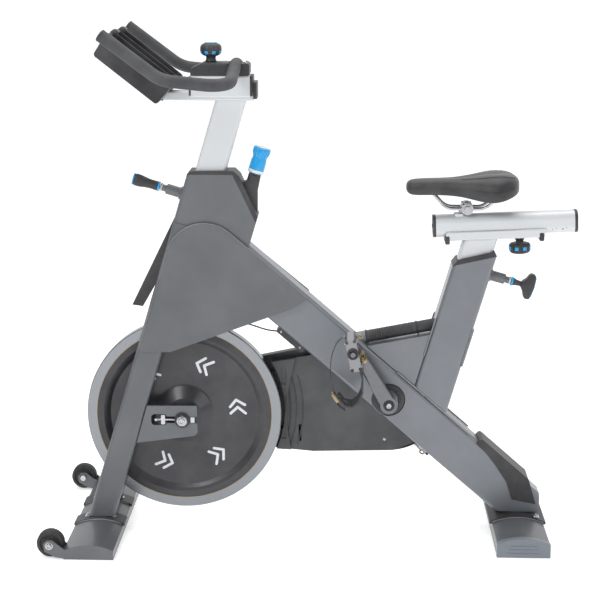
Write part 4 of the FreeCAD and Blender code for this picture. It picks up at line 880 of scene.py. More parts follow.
class BIKE_OT_tension_knob(bpy.types.Operator):
    """Models the blue tension knob with its white ring and cap"""

    bl_idname = "bike.tension_knob"
    bl_label = "Tension knob"

    def execute(self, context):
        bm = bmesh.new()
        scalloped(bm, [(6.2, 625), (17.6, 625), (18.6, 626), (18.9, 632), (18.6, 655),
                       (17.4, 660), (17.2, 664), (18.4, 668), (20.6, 672), (21.4, 676),
                       (21.4, 684), (20.4, 686.6), (18.6, 688), (15.6, 688), (15.2, 686.6),
                       (0, 686.6), (0, 655.6), (6.2, 655.6), (6.2, 625)],
                  10, 1.6, 667, 687)
        knob = piece("tension_knob_body", bm, HEAD, accent(), "tension_knob",
                     smooth=40)
        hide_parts("resistance_knob")
        bm = bmesh.new()
        lathe(bm, [(18.3, 626.4), (19.6, 626.8), (19.8, 628), (19.8, 632.4), (19.6, 633.4),
                   (18.3, 633.8), (18.3, 626.4)], steps=64)
        lathe(bm, [(0, 686.7), (15, 686.7), (15, 688.6), (14.2, 689.6), (0, 690)], steps=64)
        piece("tension_knob_white", bm, HEAD, white_plastic(), "tension_knob")
        bm = bmesh.new()
        for turn in (0, 120, 240):
            at = Matrix.Translation((0, 0, 690)) @ Matrix.Rotation(math.radians(turn), 4, "Z")
            slab(bm, (2.2, 7.5, 0.5), at @ Matrix.Translation((0, 7.5, -0.2)), 0.2)
        piece("tension_knob_mark", bm, HEAD, red_plastic(), "tension_knob")
        return {"FINISHED"}


class BIKE_OT_pull_pins(bpy.types.Operator):
    """Models the two spring pull pins that lock the posts"""

    bl_idname = "bike.pull_pins"
    bl_label = "Pull pins"

    def execute(self, context):
        front = HEAD @ facing((-1, 0, 0), (-154.5, 0, 526.5))
        bm = bmesh.new()
        scalloped(bm, [(5.2, 60), (10.8, 60), (11.4, 62), (11, 70), (11, 80), (12, 90),
                       (13.8, 100), (14.6, 106), (14.8, 115), (14, 117), (13.4, 117.4),
                       (13.4, 119), (0, 119), (0, 60.5), (5.2, 60)], 12, 0.8, 96, 116)
        handle = piece("front_pin_handle", bm, front, trim(), "front_lock")
        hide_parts("front_plunger")
        bm = bmesh.new()
        lathe(bm, [(0, 119.1), (13.8, 119.1), (14.4, 119.8), (14.4, 121.2), (13.6, 122.2),
                   (0, 122.6)], steps=48)
        lathe(bm, [(5.2, 55.4), (11.4, 55.4), (12, 56), (12, 59.2), (11.4, 59.8),
                   (5.2, 59.8), (5.2, 55.4)], steps=48)
        piece("front_pin_blue", bm, front, accent(), "front_lock")
        bm = bmesh.new()
        threads(bm, 4.9, -7, 56)
        piece("front_pin_thread", bm, front, steel(), "front_lock")
        bm = bmesh.new()
        lathe(bm, [(5.6, 48.2), (9.6, 48.2), (10.4, 49), (10.4, 53), (9.8, 53.8), (5.6, 53.8),
                   (5.6, 48.2)], steps=6)
        piece("front_pin_collar", bm, front, steel(), "frame")

        rear = SEAT @ facing((1, 0, 0), (146, 0, 361))
        bm = bmesh.new()
        threads(bm, 4.9, -7, 56)
        piece("rear_pin_thread", bm, rear, steel(), "rear_lock")
        bm = bmesh.new()
        lathe(bm, [(5.6, 48.2), (9.6, 48.2), (10.4, 49), (10.4, 52.4), (9.8, 53.2),
                   (5.6, 53.2), (5.6, 48.2)], steps=6)
        piece("rear_pin_collar", bm, rear, steel(), "frame")
        bm = bmesh.new()
        lathe(bm, [(5.2, 54.6), (10.4, 54.6), (11, 55.2), (11, 58.6), (10.4, 59.2),
                   (5.2, 59.2), (5.2, 54.6)], steps=48)
        piece("rear_pin_blue", bm, rear, accent(), "rear_lock")
        bm = bmesh.new()
        lathe(bm, [(0, 59.4), (8.6, 59.4), (9.4, 61), (7.4, 66), (6.4, 74), (6.4, 82),
                   (9, 90), (0, 92)], steps=40)
        flare = [(-7, 80), (-16, 88), (-29, 94), (-31, 98), (-31, 105), (-28, 109),
                 (0, 111.4), (28, 109), (31, 105), (31, 98), (29, 94), (16, 88), (7, 80)]
        slice_of(bm, flare, -11, 11, bevel=4.0, segments=4)
        grip = piece("rear_pin_handle", bm, rear, trim(), "rear_lock",
                     smooth=50)
        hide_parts("rear_plunger")
        bm = bmesh.new()
        slice_of(bm, [(-24, 109.4), (0, 111.6), (24, 109.4), (24, 111.2), (0, 113.4),
                      (-24, 111.2)], -7, 7, bevel=0.8)
        piece("rear_pin_cap", bm, rear, accent(), "rear_lock")
        return {"FINISHED"}


def threads(bm, radius, low, high, pitch=1.5):
    """A threaded rod: a turned side that rises and falls once a pitch."""
    outline = [(0, low), (radius - 0.8, low)]
    count = int((high - low) / pitch)
    for number in range(count):
        base = low + 0.4 + number * pitch
        outline += [(radius - 0.7, base), (radius, base + pitch * 0.5)]
    outline += [(radius - 0.7, high), (0, high)]
    lathe(bm, outline, Matrix(), 24)


class BIKE_OT_clamp_knobs(bpy.types.Operator):
    """Models the handlebar's and the seat's clamp knobs"""

    bl_idname = "bike.clamp_knobs"
    bl_label = "Clamp knobs"

    def execute(self, context):
        top = local(joint("bar_knob_turn")["pos_m"], (0, 0, 1))
        bm = bmesh.new()
        lathe(bm, [(0, 30.7), (12.8, 30.7), (13.2, 31.6), (11.2, 37), (11.6, 42), (14.6, 46),
                   (0, 47)], steps=40)
        scalloped(bm, [(0, 43.5), (15.6, 43.5), (20.6, 46), (24, 50.6), (25.4, 56),
                       (25.4, 62), (24, 67), (20.6, 70.6), (16.6, 72.2), (15.6, 72.4),
                       (15.4, 73.1), (0, 73.1)], 8, 1.6, 48, 68)
        knob = piece("bar_knob_body", bm, top, trim(), "bar_knob", smooth=40)
        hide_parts("handlebar_knob")
        bm = bmesh.new()
        lathe(bm, [(0, 73.2), (14.6, 73.2), (15, 73.7), (14.2, 74.6), (0, 75)], steps=48)
        for number in range(8):
            turn = Matrix.Rotation(math.tau * (number + 0.5) / 8, 4, "Z")
            tilt = Matrix.Rotation(math.radians(24), 4, "Y")
            slab(bm, (3.2, 9, 8.6), turn @ Matrix.Translation((23, 0, 51.5)) @ tilt, 1.5, 3)
        piece("bar_knob_blue", bm, top, accent(), "bar_knob")

        below = RAIL @ Matrix.Translation((200, 0, 0)) @ Matrix.Rotation(math.pi, 4, "X")
        bm = bmesh.new()
        lathe(bm, [(0, 7.6), (14.6, 7.6), (15, 8.6), (14.4, 10), (10.4, 15), (9, 19),
                   (8.8, 23), (0, 23)], steps=48)
        piece("seat_knob_stem", bm, below, steel(), "slide_knob")
        bm = bmesh.new()
        scalloped(bm, [(0, 22), (18, 22), (22.6, 23.4), (25.4, 26.4), (26, 30), (26, 38),
                       (25, 42), (21.4, 46), (16, 47.6), (0, 48)], 8, 2.2, 23, 46)
        knob = piece("seat_knob_body", bm, below, trim(), "slide_knob",
                     smooth=40)
        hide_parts("seat_knob")
        bm = bmesh.new()
        for number in range(8):
            turn = Matrix.Rotation(math.tau * (number + 0.5) / 8, 4, "Z")
            slab(bm, (2.6, 9.5, 8.5), turn @ Matrix.Translation((24.9, 0, 34)), 1.1, 3)
        piece("seat_knob_blue", bm, below, accent(), "slide_knob")
        return {"FINISHED"}


class BIKE_OT_cockpit(bpy.types.Operator):
    """Adds the bar ends, the tray's insides and the clamp's bolts"""

    bl_idname = "bike.cockpit"
    bl_label = "Handlebar and tray trim"

    def execute(self, context):
        low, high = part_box("handlebar")
        bm = bmesh.new()
        thick = 14.5
        heading = Vector((-0.802, 0, 0.597))
        for sign in (-1, 1):
            tip = Vector((low.x / MM + thick * heading.z, sign * (high.y / MM - thick),
                          high.z / MM + thick * heading.x))
            lathe(bm, [(0, -1.5), (13.8, -1.5), (14.9, -0.6), (15.1, 1.2), (13.8, 3.4),
                       (9.6, 4.8), (0, 5.2)], facing(heading, tip), 40)
        piece("bar_end_plugs", bm, WORLD, trim(), "bars")

        bm = bmesh.new()
        for sign in (-1, 1):
            for x in (-150, -118, -86, -54, -22):
                slab(bm, (5, 62, 2.2), Matrix.Translation((x, sign * 77.5, 4)), 1.0)
            for y in (48, 107):
                slab(bm, (160, 2, 5), Matrix.Translation((-88, sign * y, 5)), 0.8)
            slice_of(bm, [(-186, 60), (-184, 70), (-176, 74), (-170, 72), (-172, 60)],
                     sign * 46 - 30 * (sign < 0), sign * 46 + 30 * (sign > 0), bevel=1.2)
        slab(bm, (150, 66, 2.4), Matrix.Translation((-96, 0, 42)), 1.0)
        for x in (-150, -126, -102, -78, -54):
            slab(bm, (9, 44, 1.6), Matrix.Translation((x, 0, 43.8)), 0.7)
        piece("tray_insert", bm, TRAY, guard_plastic(), "bars")

        slide_low, slide_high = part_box("handlebar_slider")
        bm = bmesh.new()
        for sign in (-1, 1):
            hex_head(bm, facing((0, 0, 1), (-147, sign * 24, slide_high.z / MM + 27.4)), 6, 3.4)
        for sign in (-1, 1):
            for x in (-258, -196):
                at = facing((0, sign, 0), (x, sign * slide_high.y / MM, 1098))
                pan_screw(bm, at, 3.2, 1.4)
        piece("clamp_bolts", bm, WORLD, steel(), "bars")

        bm = bmesh.new()
        x_front, x_rear = slide_low.x / MM, slide_high.x / MM
        half = slide_high.y / MM
        for sign in (-1, 1):
            slab(bm, (5, 7, 46), Matrix.Translation((x_front - 1.5, sign * (half - 2), 1092)), 1.5)
        slab(bm, (7, 2 * half + 3, 48), Matrix.Translation((x_rear + 2.5, 0, 1093)), 3, 3)
        piece("slider_end_trim", bm, WORLD, trim(), "bars")
        return {"FINISHED"}


def text_shape(bm, words, height, at):
    """Raised figures, laid in x and y and facing z."""
    font = bpy.data.curves.new("figures", "FONT")
    font.body = words
    font.size = height
    font.extrude = 0.15
    font.align_x = "CENTER"
    font.align_y = "CENTER"
    holder = bpy.data.objects.new("figures", font)
    bpy.context.scene.collection.objects.link(holder)
    bpy.context.view_layer.update()
    shape = bpy.data.meshes.new_from_object(holder.evaluated_get(
        bpy.context.evaluated_depsgraph_get()))
    old = set(bm.verts)
    bm.from_mesh(shape)
    bpy.data.objects.remove(holder)
    bpy.data.curves.remove(font)
    bpy.data.meshes.remove(shape)
    moved(bm, old, at)


class BIKE_OT_scales(bpy.types.Operator):
    """Adds the setting scales of the posts and the seat slider"""

    bl_idname = "bike.scales"
    bl_label = "Setting scales"

    def execute(self, context):
        for name, place, face, first, last, body in (
                ("front_post_scale", HEAD, -138.0, 596, 780, "front_post"),
                ("rear_post_scale", SEAT, 135.5, 434, 470, "rear_post")):
            out = -1 if face < 0 else 1
            bm = bmesh.new()
            for number, z in enumerate(range(first, last, 5)):
                wide = 12 if number % 5 == 0 else 6
                slab(bm, (0.3, wide, 0.9), Matrix.Translation((face + out * 0.12, -15, z)))
            for number, z in enumerate(range(first, last, 25)):
                flat = facing((out, 0, 0), (face, 13, z + 2))
                spin = Matrix.Rotation(math.radians(90 * out), 4, "Z")
                text_shape(bm, str(number), 9, flat @ spin)
            piece(name, bm, place, ink(), body, keep=True)

        bm = bmesh.new()
        upright = Matrix(((1, 0, 0, 0), (0, 0, -1, 0), (0, 1, 0, 0), (0, 0, 0, 1)))
        for number in range(9):
            x = 300 - 24.4 * number
            flat = Matrix.Translation((x, -23.9, 13)) @ Matrix.Rotation(
                math.radians(-14), 4, "X") @ upright
            text_shape(bm, str(number), 11, flat)
            slab(bm, (0.9, 0.4, 6), Matrix.Translation((x + 9, -24.6, 15)) @ Matrix.Rotation(
                math.radians(-8), 4, "X"))
        piece("slider_scale", bm, RAIL, ink(), "seat_carriage", keep=True)
        return {"FINISHED"}


SADDLE_STATIONS = (
    # along, half width, underside, top
    (232.6, 9, 848, 860), (235, 17, 843, 866), (241, 24.5, 838.5, 870.5),
    (252, 28.4, 836.5, 873), (275, 29.6, 837, 874.6), (302, 30.4, 837.5, 875.4),
    (332, 34.5, 837, 876.6), (360, 43.5, 835.6, 879), (386, 60, 831, 882.6),
    (410, 77, 827, 886.4), (434, 86.6, 825, 889), (456, 87.4, 829, 889.6),
    (474, 80, 836, 888.6), (487, 66, 842, 885), (495, 47, 846.6, 880),
    (499, 26, 851, 874),
)
SADDLE_SECTION = (
    # share of the half width, share of the height
    (0.0, 1.0), (0.2, 0.995), (0.42, 0.975), (0.62, 0.93), (0.79, 0.84), (0.91, 0.7),
    (0.975, 0.52), (1.0, 0.33), (0.985, 0.15), (0.93, 0.03), (0.84, 0.02), (0.74, 0.12),
    (0.5, 0.16), (0.25, 0.17), (0.0, 0.17),
)


def saddle_point(station, across, rise, sign):
    """A point of the cushion, with the crown and the relief channel pressed in."""
    along, half, under, top = station
    y = half * across
    z = under + (top - under) * rise
    if rise > 0.6:
        start, finish = 318, 478
        inside = max(0.0, min(1.0, (along - start) / 26, (finish - along) / 22))
        z -= 4.2 * inside * math.exp(-(y / 9.5) ** 2)
        lobe = math.exp(-((along - 446) / 26) ** 2) * math.exp(-((y - 48) / 22) ** 2)
        z += sizes().saddle_crown / MM * 0.22 * lobe
    return Vector((along, sign * y, z))


class BIKE_OT_saddle(bpy.types.Operator):
    """Models the saddle's cushion, its seams, its base and the clamp's bolts"""

    bl_idname = "bike.saddle"
    bl_label = "Saddle"

    def execute(self, context):
        bm = bmesh.new()
        loops = []
        for station in SADDLE_STATIONS:
            right = [saddle_point(station, u, v, 1) for u, v in SADDLE_SECTION]
            left = [saddle_point(station, u, v, -1) for u, v in SADDLE_SECTION[1:-1]]
            loops.append([bm.verts.new(p) for p in right + list(reversed(left))])
        count = len(loops[0])
        for first, second in zip(loops, loops[1:]):
            for step in range(count):
                other = (step + 1) % count
                bm.faces.new((first[step], first[other], second[other], second[step]))
        for ring in (loops[0], loops[-1]):
            middle = sum((v.co for v in ring), Vector()) / count
            heart = bm.verts.new(middle)
            for step in range(count):
                bm.faces.new((ring[step], ring[(step + 1) % count], heart))
        cushion = piece("saddle_cushion", bm, WORLD, saddle_cover(), "seat",
                        smooth=180, subdivide=2)
        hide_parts("saddle")

        bm = bmesh.new()
        for sign in (-1, 1):
            seam = [saddle_point(s, 0.985, 0.47, sign) for s in SADDLE_STATIONS[2:-2]]
            sweep(bm, smooth_line(seam, 5), 0.75, 8)
            back = [saddle_point(s, 0.62, 0.925, sign) + Vector((0, 0, 0.3))
                    for s in SADDLE_STATIONS[7:-2]]
            sweep(bm, smooth_line(back, 5), 0.55, 8)
        piece("saddle_seams", bm, WORLD, rubber(), "seat")

        bm = bmesh.new()
        rows = []
        for along, half, under, _ in SADDLE_STATIONS[1:-1]:
            rows.append([bm.verts.new((along, half * share, under + 2.2 + 3 * (1 - abs(share))))
                         for share in (-0.86, -0.5, 0, 0.5, 0.86)])
        for first, second in zip(rows, rows[1:]):
            for step in range(4):
                bm.faces.new((first[step], first[step + 1], second[step + 1], second[step]))
        bmesh.ops.solidify(bm, geom=bm.faces[:], thickness=2.4)
        slab(bm, (40, 34, 10), Matrix.Translation((290, 0, 846)), 3, 3)
        slab(bm, (20, 96, 9), Matrix.Translation((452, 0, 848)), 3, 3)
        piece("saddle_base", bm, WORLD, trim(), "seat")

        place = Matrix.Translation(joint("saddle_tilt")["pos_m"]) @ WORLD
        bm = bmesh.new()
        for sign in (-1, 1):
            at = facing((0, sign, 0), (0, sign * 27, 0))
            washer(bm, at, 4, 12.4, 1.8)
            lathe(bm, [(0, 1.8), (8, 1.8), (9, 2.6), (9, 6.2), (8, 7), (0, 7)], at, 6)
            for x in (-9.5, 9.5):
                sweep(bm, [(x, sign * 20, -10), (x, sign * 20, 12)], 2.6, 10)
        piece("saddle_clamp_bolts", bm, place, steel(), "seat")
        return {"FINISHED"}


class BIKE_OT_slider(bpy.types.Operator):
    """Adds the seat carriage's clips and the slider's end screws"""

    bl_idname = "bike.slider"
    bl_label = "Seat slider trim"

    def execute(self, context):
        bm = bmesh.new()
        for x in (26, 250):
            slab(bm, (11, 62, 20), Matrix.Translation((x, 0, 2)), 2.5, 3)
        piece("carriage_clips", bm, RAIL @ Matrix.Translation((0, 0, -7.5)), trim(),
              "rear_post")
        bm = bmesh.new()
        for x, out in ((-7, -1), (336.4, 1)):
            lathe(bm, [(0, 0), (5.5, 0), (5.5, 1), (4.6, 1.8), (0, 2)],
                  facing((out, 0, 0), (x, 0, 27)), 24)
            slab(bm, (2, 30, 1.4), Matrix.Translation((x, 0, 14)), 0.6)
            slab(bm, (2, 30, 1.4), Matrix.Translation((x, 0, 40)), 0.6)
        piece("slider_end_screws", bm, RAIL, trim(), "seat_carriage")
        return {"FINISHED"}


class BIKE_OT_pedals(bpy.types.Operator):
    """Adds the pedals' bindings, pins, straps and buckles"""

    bl_idname = "bike.pedals"
    bl_label = "Pedal trim"

    def execute(self, context):
        for side, sign in SIDES:
            place = pedal_frame(side)
            body = side + "_pedal"
            inner, outer = 87 * sign, 171 * sign
            middle = (inner + outer) / 2
            bm = bmesh.new()
            at = facing((0, sign, 0), (0, outer, 0))
            lathe(bm, [(0, 2.4), (6.4, 2.4), (7, 3.4), (11.6, 4.6), (13.4, 3.6), (14, 0),
                       (0, 0)], at, 40)
            for x in (-29, 39):
                slab(bm, (7, 90, 7), Matrix.Translation((x, middle, 9.5)), 1.8)
                slab(bm, (7, 90, 7), Matrix.Translation((x, middle, -9.5)), 1.8)
            slab(bm, (30, 3, 22), Matrix.Translation((24, outer - 4 * sign, 2)), 1.2)
            piece(body + "_hub", bm, place, trim(), body)
            bm = bmesh.new()
            lathe(bm, [(9.2, -74), (10.4, -73), (10.4, -52), (8.8, -48), (8.4, -30),
                       (8.4, -20), (10, -14), (10.4, -9), (9.2, -8), (6.4, -8), (6.4, -74),
                       (9.2, -74)], at, 32)
            lathe(bm, [(0, 2.6), (5.6, 2.6), (5.6, 4.2), (3, 4.4), (2.8, 3.4), (0, 3.4)], at, 6)
            for x in (-25, 35):
                for y in (-34, -17, 17, 34):
                    for up in (-1, 1):
                        lathe(bm, [(0, 0), (1.9, 0), (1.9, 2), (1.4, 2.6), (0, 2.7)],
                              facing((0, 0, up), (x, middle + y, 12.8 * up)), 12)
            piece(body + "_steel", bm, place, steel(), body)
            bm = bmesh.new()
            turns = [(16 + 5.6 * math.cos(t * 0.7), middle - 15 + t * 0.34,
                      19.5 + 5.6 * math.sin(t * 0.7)) for t in range(90)]
            sweep(bm, turns, 1.15, 8)
            loop = smooth_line([(-26, middle - 15, 14), (-29, middle - 15, 22),
                                (-24, middle - 10, 26), (-22, middle, 27),
                                (-24, middle + 10, 26), (-29, middle + 15, 22),
                                (-26, middle + 15, 14)])
            sweep(bm, loop, 2.0, 10)
            slice_of(bm, [(22, 13), (34, 13), (36, 24), (31, 29), (22, 27), (26, 22),
                          (22, 19)], middle - 14, middle + 14, bevel=1.0)
            piece(body + "_binding", bm, place, brass(), body)
            make_strap(side, place, body, middle)
        return {"FINISHED"}


def make_strap(side, place, body, middle):
    """One toe strap: through the pedal, round the foot space and into its buckle."""
    route = smooth_line([
        (-30, middle, -8), (-33, middle, -18), (-24, middle, -34), (4, middle, -52),
        (40, middle, -62), (74, middle, -66), (100, middle, -61), (118, middle, -47),
        (128, middle, -36),
    ], 8)
    bm = bmesh.new()
    ribbon(bm, route, sizes().strap_width / MM, 1.8)
    tail = smooth_line([(96, middle, -65), (112, middle, -66), (128, middle, -60),
                        (142, middle, -48)], 6)
    ribbon(bm, tail, sizes().strap_width / MM, 1.8)
    piece(side + "_toe_strap", bm, place, webbing(), body)
    bm = bmesh.new()
    at = Matrix.Translation((106, middle, -64)) @ Matrix.Rotation(math.radians(-22), 4, "Y")
    for y in (-11.5, 11.5):
        slab(bm, (24, 1.8, 8), at @ Matrix.Translation((0, y, 0)), 0.7)
    for x in (-10, 0, 10):
        sweep(bm, [tuple(at @ Vector((x, y, 1.5))) for y in (-11.5, 0, 11.5)], 1.7, 10)
    slab(bm, (12, 20, 1.4), at @ Matrix.Translation((6, 0, -3.2)), 0.6)
    piece(side + "_strap_buckle", bm, place, brass(), body)
    bm = bmesh.new()
    slab(bm, (16, 20, 3), Matrix.Translation((-31.5, middle, -19)) @ Matrix.Rotation(
        math.radians(60), 4, "Y"), 1.0)
    piece(side + "_strap_tab", bm, place, cap_plastic(), body)


class BIKE_OT_cranks(bpy.types.Operator):
    """Adds the crank bolts, dust caps and bottom bracket rings"""

    bl_idname = "bike.cranks"
    bl_label = "Crank trim"

    def execute(self, context):
        bm = bmesh.new()
        for _, sign in SIDES:
            at = facing((0, sign, 0), (0, 83 * sign, 0))
            lathe(bm, [(0, 0.2), (12.6, 0.2), (13.6, 0.8), (13.6, 1.6), (12.4, 2.4),
                       (9.4, 2.8), (9, 1.8), (0, 1.6)], at, 48)
        piece("crank_dust_caps", bm, Matrix.Translation(CRANK) @ WORLD, trim(), "cranks")
        bm = bmesh.new()
        for _, sign in SIDES:
            at = facing((0, sign, 0), (0, 84.4 * sign, 0))
            lathe(bm, [(0, 0), (6.4, 0), (7, 0.6), (7, 2.4), (6.2, 3.2), (3.6, 3.2),
                       (3.4, 1.6), (0, 1.6)], at, 6)
            lathe(bm, [(10.6, -18.5), (20.4, -18.5), (21.6, -17.6), (21.6, -15.4),
                       (10.6, -15.2), (10.6, -18.5)], at, 64)
        piece("crank_bolts", bm, Matrix.Translation(CRANK) @ WORLD, steel(), "cranks")
        bm = bmesh.new()
        for sign in (-1, 1):
            at = facing((0, sign, 0), (0, 33 * sign, 0))
            lathe(bm, [(24.6, 0), (38, 0), (38.6, 0.5), (38.4, 1.6), (36.8, 2.2), (27, 2.2),
                       (25.4, 1.6), (24.6, 0)], at, 80)
            if sign < 0:
                for number in range(8):
                    turn = Matrix.Rotation(math.tau * number / 8, 4, "Z")
                    slab(bm, (3.4, 5, 2), at @ turn @ Matrix.Translation((31, 0, 2.2)), 0.6)
        piece("bracket_rings", bm, Matrix.Translation(CRANK) @ WORLD, trim(), "frame")
        for side, sign in SIDES:
            bm = bmesh.new()
            at = facing((0, sign, 0), (175, 83 * sign, 0))
            lathe(bm, [(6.4, 0), (8.6, 0), (8.6, 3.4), (6.4, 3.4), (6.4, 0)], at, 6)
            back = facing((0, -sign, 0), (175, 68 * sign, 0))
            lathe(bm, [(0, 0), (6.8, 0), (6.8, 1), (5.6, 1.8), (3.4, 1.8), (3.2, 0.6),
                       (0, 0.6)], back, 24)
            piece(side + "_pedal_flats", bm, crank_frame(side), steel(), "cranks")
        return {"FINISHED"}


class BIKE_OT_guard(bpy.types.Operator):
    """Adds the belt guard's folds, ribs and screws, and the sensor's screws"""

    bl_idname = "bike.guard"
    bl_label = "Belt guard trim"

    def execute(self, context):
        bm = bmesh.new()
        face = 33.5
        for radius, start, end in ((262, -22, 22), (276, -20, 20), (292, -18, 18)):
            line = [(x, face - 0.6, z) for x, z in arc((0, 0), radius, start, end, 60)]
            sweep(bm, line, 1.5, 8, flat=1.0)
        guard = Matrix.Translation(AXLE) @ WORLD
        piece("guard_folds", bm, guard, guard_plastic(), "frame")
        bm = bmesh.new()
        for x, z in ((56, 98), (108, -70), (-6, -122), (96, -124), (-80, 60), (120, 40)):
            pan_screw(bm, facing((0, -1, 0), (x, face, z)), 4.2, 1.8)
        piece("guard_screws", bm, Matrix.Translation(CRANK) @ WORLD, steel(), "frame")
        bm = bmesh.new()
        for number in range(8):
            angle = math.radians(45 * number + 10)
            x, z = 138 * math.cos(angle), 138 * math.sin(angle)
            pan_screw(bm, facing((0, 1, 0), (x, 55.4, z)), 4.2, 1.8)
        lathe(bm, [(21, 0), (30, 0), (33, 1.4), (33, 2.4), (30, 3.4), (21, 3.4)],
              facing((0, 1, 0), (0, 55.4, 0)), 64)
        piece("outer_guard_screws", bm, Matrix.Translation(CRANK) @ WORLD, trim(), "frame")
        bm = bmesh.new()
        for x in (-306, -246):
            pan_screw(bm, facing((0, -1, 0), (x, -16, -47.5)), 3.0, 1.4)
        piece("sensor_screws", bm, BEAM, steel(), "frame")
        return {"FINISHED"}


class BIKE_OT_welds(bpy.types.Operator):
    """Adds the weld beads of the frame and feet"""

    bl_idname = "bike.welds"
    bl_label = "Weld beads"

    def execute(self, context):
        size = sizes().bead / MM
        bm = bmesh.new()
        for sign in (-1, 1):
            y = 33.4 * sign
            bead(bm, [(-32, y, 66.6), (62, y, 66.6)], size * 0.9, 3 + sign)
            bead(bm, [(62, y, 66.6), (210, y, 66.6)], size * 0.9, 7 + sign)
        piece("beam_weld", bm, BEAM, weld(), "frame", smooth=60)
        bm = bmesh.new()
        for sign in (-1, 1):
            for x in (50.5, 146.5):
                bead(bm, [(x, 22 * sign, 130), (x, 31 * sign, 132), (x, 31.6 * sign, 230)],
                     size * 0.8, x)
        piece("column_weld", bm, SEAT, weld(), "frame", smooth=60)
        for sign in (-1, 1):
            face = 4.0 * sign
            bm = bmesh.new()
            bead(bm, [(-149, face, -360), (-149, face, -112)], size * 0.8, sign)
            crest = arc((-56.5, -109.9), 92, 178, 66.7, 24) + [(207, -123.5)]
            bead(bm, [(x, face, z) for x, z in crest], size * 0.8, sign + 4)
            piece("panel_weld_%s" % ("left" if sign < 0 else "right"), bm, leg_frame(sign),
                  dark_weld(), "frame", smooth=60)
        bm = bmesh.new()
        low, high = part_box("front_stabiliser")
        foot_x = (low.x + high.x) / 2 / MM
        for centre in (-67, 67):
            for edge in (-25.6, 25.6):
                y = centre + edge
                line = [(foot_x + x, y, 36.6 - 14 * (x / 62) ** 2) for x in range(-58, 59, 8)]
                bead(bm, line, size * 0.9, y)
        low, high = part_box("rear_stabiliser")
        foot_x = (low.x + high.x) / 2 / MM
        for y in (-66.6, 66.6):
            line = [(foot_x + x, y, 46.6 - 14 * (x / 66) ** 2) for x in range(-64, 65, 8)]
            bead(bm, line, size * 0.9, y)
        piece("foot_welds", bm, WORLD, dark_weld(), "frame", smooth=60)
        return {"FINISHED"}


class BIKE_OT_feet(bpy.types.Operator):
    """Adds the wheel bolts, foot bolts and the rear end caps' ribs"""

    bl_idname = "bike.feet"
    bl_label = "Foot trim"

    def execute(self, context):
        bm = bmesh.new()
        for side, sign in SIDES:
            pos = Vector(joint(side + "_wheel_spin")["pos_m"]) / MM
            at = facing((0, sign, 0), (pos.x, sign * 260, pos.z))
            washer(bm, at, 4, 9.6, 1.6)
            hex_head(bm, at @ Matrix.Translation((0, 0, 1.6)), 10.4, 5.5)
            back = facing((0, -sign, 0), (pos.x, sign * 217, pos.z))
            lathe(bm, [(0, 0), (8, 0), (8.6, 0.8), (8.6, 5), (7.8, 6), (0, 6)], back, 6)
        low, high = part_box("front_stabiliser")
        foot_x = (low.x + high.x) / 2 / MM
        for y in (-67, 67):
            for x in (-30, 30):
                z = 40.2 - 14 * (x / 62) ** 2
                tilt = facing((x * 0.0075, 0, 1), (foot_x + x, y, z))
                washer(bm, tilt, 4, 9.6, 1.4)
                hex_head(bm, tilt @ Matrix.Translation((0, 0, 1.4)), 9.6, 5)
        low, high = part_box("rear_stabiliser")
        foot_x = (low.x + high.x) / 2 / MM
        for y in (-50, 50):
            z = 50.2 - 14 * (50 / 68) ** 2
            tilt = facing((0.3, 0, 1), (foot_x + 46, y, z + 1.4))
            washer(bm, tilt, 4, 9.6, 1.4)
            hex_head(bm, tilt @ Matrix.Translation((0, 0, 1.4)), 9.6, 5)
        piece("foot_bolts", bm, WORLD, steel(), "frame")
        bm = bmesh.new()
        low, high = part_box("rear_end_caps")
        foot_x = (low.x + high.x) / 2 / MM
        for sign in (-1, 1):
            y = sign * high.y / MM
            for rise in (11, 20, 29):
                slab(bm, (92 - rise, 2, 1.6), Matrix.Translation((foot_x, y, rise)), 0.7)
        piece("end_cap_ribs", bm, WORLD, cap_plastic(), "frame")
        return {"FINISHED"}


class BIKE_OT_wheels(bpy.types.Operator):
    """Adds the transport wheels' hubs and treads"""

    bl_idname = "bike.wheels"
    bl_label = "Transport wheel trim"

    def execute(self, context):
        for side, _ in SIDES:
            place = Matrix.Translation(joint(side + "_wheel_spin")["pos_m"]) @ WORLD
            bm = bmesh.new()
            for face in (-1, 1):
                at = facing((0, face, 0), (0, 12.8 * face, 0))
                lathe(bm, [(5.4, 0), (12, 0), (13.4, 0.8), (13.4, 1.4), (10, 1.6), (5.4, 1.6),
                           (5.4, 0)], at, 40)
                for number in range(5):
                    turn = Matrix.Rotation(math.tau * number / 5, 4, "Z")
                    slab(bm, (10, 3, 1.6), at @ turn @ Matrix.Translation((15.6, 0, -1)), 0.6)
            piece(side + "_wheel_hub", bm, place, guard_plastic(), side + "_wheel")
            bm = bmesh.new()
            for y in (-7, 0, 7):
                lathe(bm, [(31.2, -0.8), (32.3, -0.6), (32.3, 0.6), (31.2, 0.8), (31.2, -0.8)],
                      facing((0, 1, 0), (0, y, 0)), 64)
            piece(side + "_wheel_tread", bm, place, rubber(), side + "_wheel")
        return {"FINISHED"}


